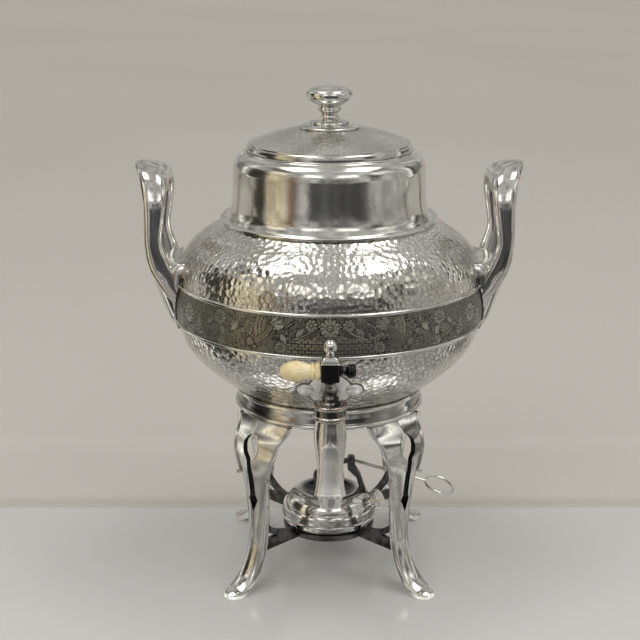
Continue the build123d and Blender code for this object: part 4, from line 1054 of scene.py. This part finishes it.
def block_grid():
    """Square block under a short domed spire: rounded squares whose half side follows the height."""
    u = full_turn(96)
    spire = flowing([(BLOCK_HIGH_Z + 0.5, 6.5), (229.6, 5.9), (231.2, 4.7), (232.2, 3.3)], 4)
    block = [(BLOCK_LOW_Z, 0), (BLOCK_LOW_Z, 6.3), (BLOCK_LOW_Z + 0.6, 6.9), (BLOCK_HIGH_Z, 6.9)]
    stations = [*block, *spire, (232.2, 0)]
    square = np.minimum(1 / np.maximum(np.abs(np.cos(u)), np.abs(np.sin(u))), 1.36)
    flat = np.stack([np.cos(u) * square, np.sin(u) * square], 1)
    rings = [np.column_stack([flat * half + (0, TAP_Y), np.full(len(u), z)]) for z, half in stations]
    return np.stack(rings)


plated(surface("key_cube", block_grid(), sharp=22), "tap_key", "key_block", block_silver)
ball = [(0, 232.2), (3.0, 232.2), (3.0, 234.6)] + [
    (5.2 * sin(a), 239.0 - 5.2 * cos(a)) for a in np.linspace(0.62, pi, 20)
]
plated(turned("key_finial", ball, closed=False, steps=64, foot=(0, TAP_Y, 0)), "tap_key", "key_ball")
grip_line = np.vstack([
    rounded(
        [(1.6, 6.9), (6.0, 6.9), (6.8, 7.9), (6.9, 10.3), (5.4, 11.3), (6.7, 12.3), (6.7, 13.5), (5.2, 14.3)],
        0.5, False,
    ),
    flowing(
        [(5.2, 14.3), (6.1, 16.9), (7.4, 20.9), (7.9, 25.4), (7.2, 30.3), (5.7, 33.7), (3.2, 36.3), (0, 37.4)], 6
    )[1:],
])
grip_line = np.vstack([[(0, 6.9)], grip_line])
grip = turned("grip", grip_line, closed=False, steps=72, foot=(0, TAP_Y, KEY_Z), aim=(-1, 0, 0))
dress(grip, "tap_key", "bone", bone, "key_grip")
button = [
    (0, 6.9), (4.0, 6.9), (4.6, 8.1), (3.4, 9.4), (3.0, 11.6), (4.2, 12.6), (5.3, 13.8), (5.3, 16.6), (4.2, 18.6),
    (2.4, 19.2), (0, 19.2),
]
button = rounded(button, 0.5, False)
button = turned("grip_button", button, closed=False, steps=48, foot=(0, TAP_Y, KEY_Z), aim=(1, 0, 0))
plated(button, "tap_key", "key_button", dusky_silver)

# CAD pieces that show as they are, with a finish
KEPT = (
    (plain_silver, ("lid_flange", "foot_rim")),
    (soft_silver, ("knob_nut", "seat_ledge", "wedge_washer", "tap_nut", "tap_strainer", "grip_pin")),
    (dark_metal, ("lever_bracket", "hinge_pin", "snuffer_lever", *("cradle_arm_" + at for at in LEG_ANGLES))),
)
for finish, nodes in KEPT:
    for node in nodes:
        paint(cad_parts[node], finish)


# Table, light and camera: metres, the stage's half width in millimetres and degrees
TABLE_BACK_Y = 0.103
SEAM_Y = 0.27
STAGE_REACH = 40000.0
CAMERA_DOWN = 16.23


def stage_finish():
    """Glossy table as far as its back edge behind the feet, and the backdrop past it with one faint seam.
    Where the table would end in front, mirror rays pass through it to the dark side of the room."""
    finish = Finish("table_top")
    across, depth, _ = finish.axes()
    far = depth.step(TABLE_BACK_Y, TABLE_BACK_Y + 0.007)
    edge = depth.step(0.096, 0.104) * depth.step(0.130, 0.112)
    seam = abs(depth - SEAM_Y).step(0.03, 0.0)
    cloud = finish.noise(0.8, 1.0)
    table = finish.mix(cloud.step(0.3, 0.7), (0.50, 0.497, 0.482), (0.54, 0.537, 0.52))
    wall = finish.mix(cloud.step(0.3, 0.7), (0.49, 0.463, 0.43), (0.515, 0.488, 0.455))
    toned = finish.mix(far, table, wall)
    toned = finish.mix(edge * 0.5, toned, (0.36, 0.34, 0.31))
    toned = finish.mix(seam * 0.2, toned, (0.6, 0.57, 0.53))
    mirrored = finish.node("LightPath", output=3)
    # Near the front, mirror rays see the table glow with a painted reflection: blotches of light and dark.
    glints = finish.noise(26.0, 2.0).step(0.42, 0.60)
    glare = finish.mix(glints, (0.13, 0.128, 0.12), (0.60, 0.595, 0.565))
    # Painted glare: bright spots under the two front legs
    for side in (-0.107, 0.107):
        spot = ((across - side) * (across - side) + (depth + 0.082) * (depth + 0.082)) ** 0.5
        glare = finish.mix(spot.step(0.05, 0.03), glare, (1.2, 1.2, 1.15))
    near = depth.step(0.10, 0.06)
    seen = mirrored * near
    finish.set(Base_Color=finish.mix(seen, toned, (0.0, 0.0, 0.0)), Emission_Strength=1.0)
    finish.set(Emission_Color=finish.mix(seen, (0.0, 0.0, 0.0), glare))
    finish.set(Roughness=far * 0.5 + 0.2)
    outside = depth.step(-0.34, -0.38).most(abs(across).step(0.30, 0.34) * depth.step(0.35, 0.25))
    finish.set(Alpha=1.0 - outside * mirrored)
    return finish.material


ends = (-STAGE_REACH, STAGE_REACH)
floor = surface("table", [[(x, y, 0) for x in ends] for y in ends], close_columns=False)
floor.data.materials.append(stage_finish())

world = bpy.data.worlds.new("studio")
bpy.context.scene.world = world
world.use_nodes = True


class Room(Finish):
    """The world's node tree, handled as a finish."""

    def __init__(self):
        self.material = world
        self.tree = world.node_tree
        self.shader = self.tree.nodes["Background"]


room = Room()
way = room.node("TexCoord", output=0)
right, ahead, up = room.axes(way)
azimuth = room.node("Math", {"operation": "ARCTAN2"}, {0: right, 1: -ahead})
height = room.node("Math", {"operation": "ARCSINE"}, {0: up})


def patch(low_az, high_az, low_el, high_el, soft):
    """Window of directions between azimuths and elevations in degrees."""
    sides = between(azimuth, radians(low_az), radians(high_az), radians(soft))
    return sides * between(height, radians(low_el), radians(high_el), radians(soft))


def panel(low_u, high_u, low_w, high_w, soft):
    """Rectangle on the ceiling; u and w are metres to the right and ahead for each metre up."""
    lifted = up.most(0.01)
    shown = between(right / lifted, low_u, high_u, soft) * between(ahead / lifted, low_w, high_w, soft)
    return shown * up.step(0.1, 0.2)


tone = room.mix(height.step(-0.3, 0.9), (0.40, 0.39, 0.37), (0.50, 0.50, 0.49))
# Parts of the room in the order they are laid over each other: azimuths, elevations, soft edge and colour
WINDOWS = (
    (-24, 46, -75, 4, 3, (0.085, 0.085, 0.09)),
    (-12, 26, 0, 18, 4, (0.20, 0.20, 0.195)),
    (-50, -41, -75, 22, 4, (0.22, 0.13, 0.07)),
    (-79, -52, -75, 24, 5, (0.74, 0.65, 0.46)),
    (-112, -80, -75, 30, 4, (0.05, 0.047, 0.04)),
    (-126, -118, -75, 40, 2, (1.2, 1.2, 1.15)),
    (-146, -127, -75, 20, 3, (0.20, 0.195, 0.18)),
    (50, 64, 12, 34, 3, (0.09, 0.09, 0.085)),
    (110, 114, -75, 30, 1.5, (1.2, 1.2, 1.15)),
    (115, 124, -75, 30, 2, (0.05, 0.05, 0.05)),
    (10, 44, -75, -24, 5, (0.04, 0.04, 0.04)),
    (125, 146, -75, 20, 3, (0.22, 0.22, 0.21)),
    (-110, -60, 46, 62, 5, (0.10, 0.10, 0.095)),
    (70, 110, 48, 62, 5, (0.14, 0.14, 0.135)),
    (-34, -10, 27, 44, 3, (1.9, 1.9, 1.85)),
    (10, 36, 27, 44, 3, (1.9, 1.9, 1.85)),
    (-82, -56, 26, 40, 4, (1.2, 1.1, 0.85)),
    (58, 88, 30, 42, 4, (1.0, 1.0, 0.95)),
)
for *edges, colour in WINDOWS:
    tone = room.mix(patch(*edges), tone, colour)
for low_u, high_u in ((-0.60, -0.17), (0.22, 0.62)):
    tone = room.mix(panel(low_u, high_u, -0.22, 0.26, 0.04), tone, (4.0, 4.0, 3.9))
blot = room.noise(7.0, 5.0, where=way, rough=0.7)
mottle = room.mix(blot.step(0.35, 0.65), (0.5, 0.5, 0.48), (1.4, 1.39, 1.36))
tone = room.mix(1.0, tone, mottle, "MULTIPLY")
rays = room.node("LightPath")
plain = room.mix(height.step(-0.5, 0.5), (0.49, 0.46, 0.425), (0.45, 0.43, 0.40))
room.feed(room.shader.inputs["Color"], room.mix(rays, tone, plain))


def lamp(name, place, aim, size, power):
    """Square soft light at a place in metres, facing another."""
    data = bpy.data.lights.new(name, "AREA")
    data.size, data.energy = size, power
    light = linked(name, data)
    light.location = place
    light.visible_glossy = False
    x, y, z = np.subtract(aim, place)
    light.rotation_euler = (atan2(hypot(x, y), -z), 0, atan2(-x, y))


lamp("key_light", (-0.9, -1.3, 1.5), (0, 0, 0.2), 1.4, 12.0)
lamp("fill_light", (1.1, -1.0, 1.3), (0, 0, 0.2), 1.4, 9.0)

camera_data = bpy.data.cameras.new("camera")
camera = linked("camera", camera_data)
camera.location = (-0.00756, -1.112, 0.53887)
camera.rotation_euler = (radians(90 - CAMERA_DOWN), 0, 0)
camera_data.sensor_width, camera_data.lens = 36.0, 77.47
bpy.context.scene.camera = camera
bpy.context.scene.view_settings.view_transform = "Standard"
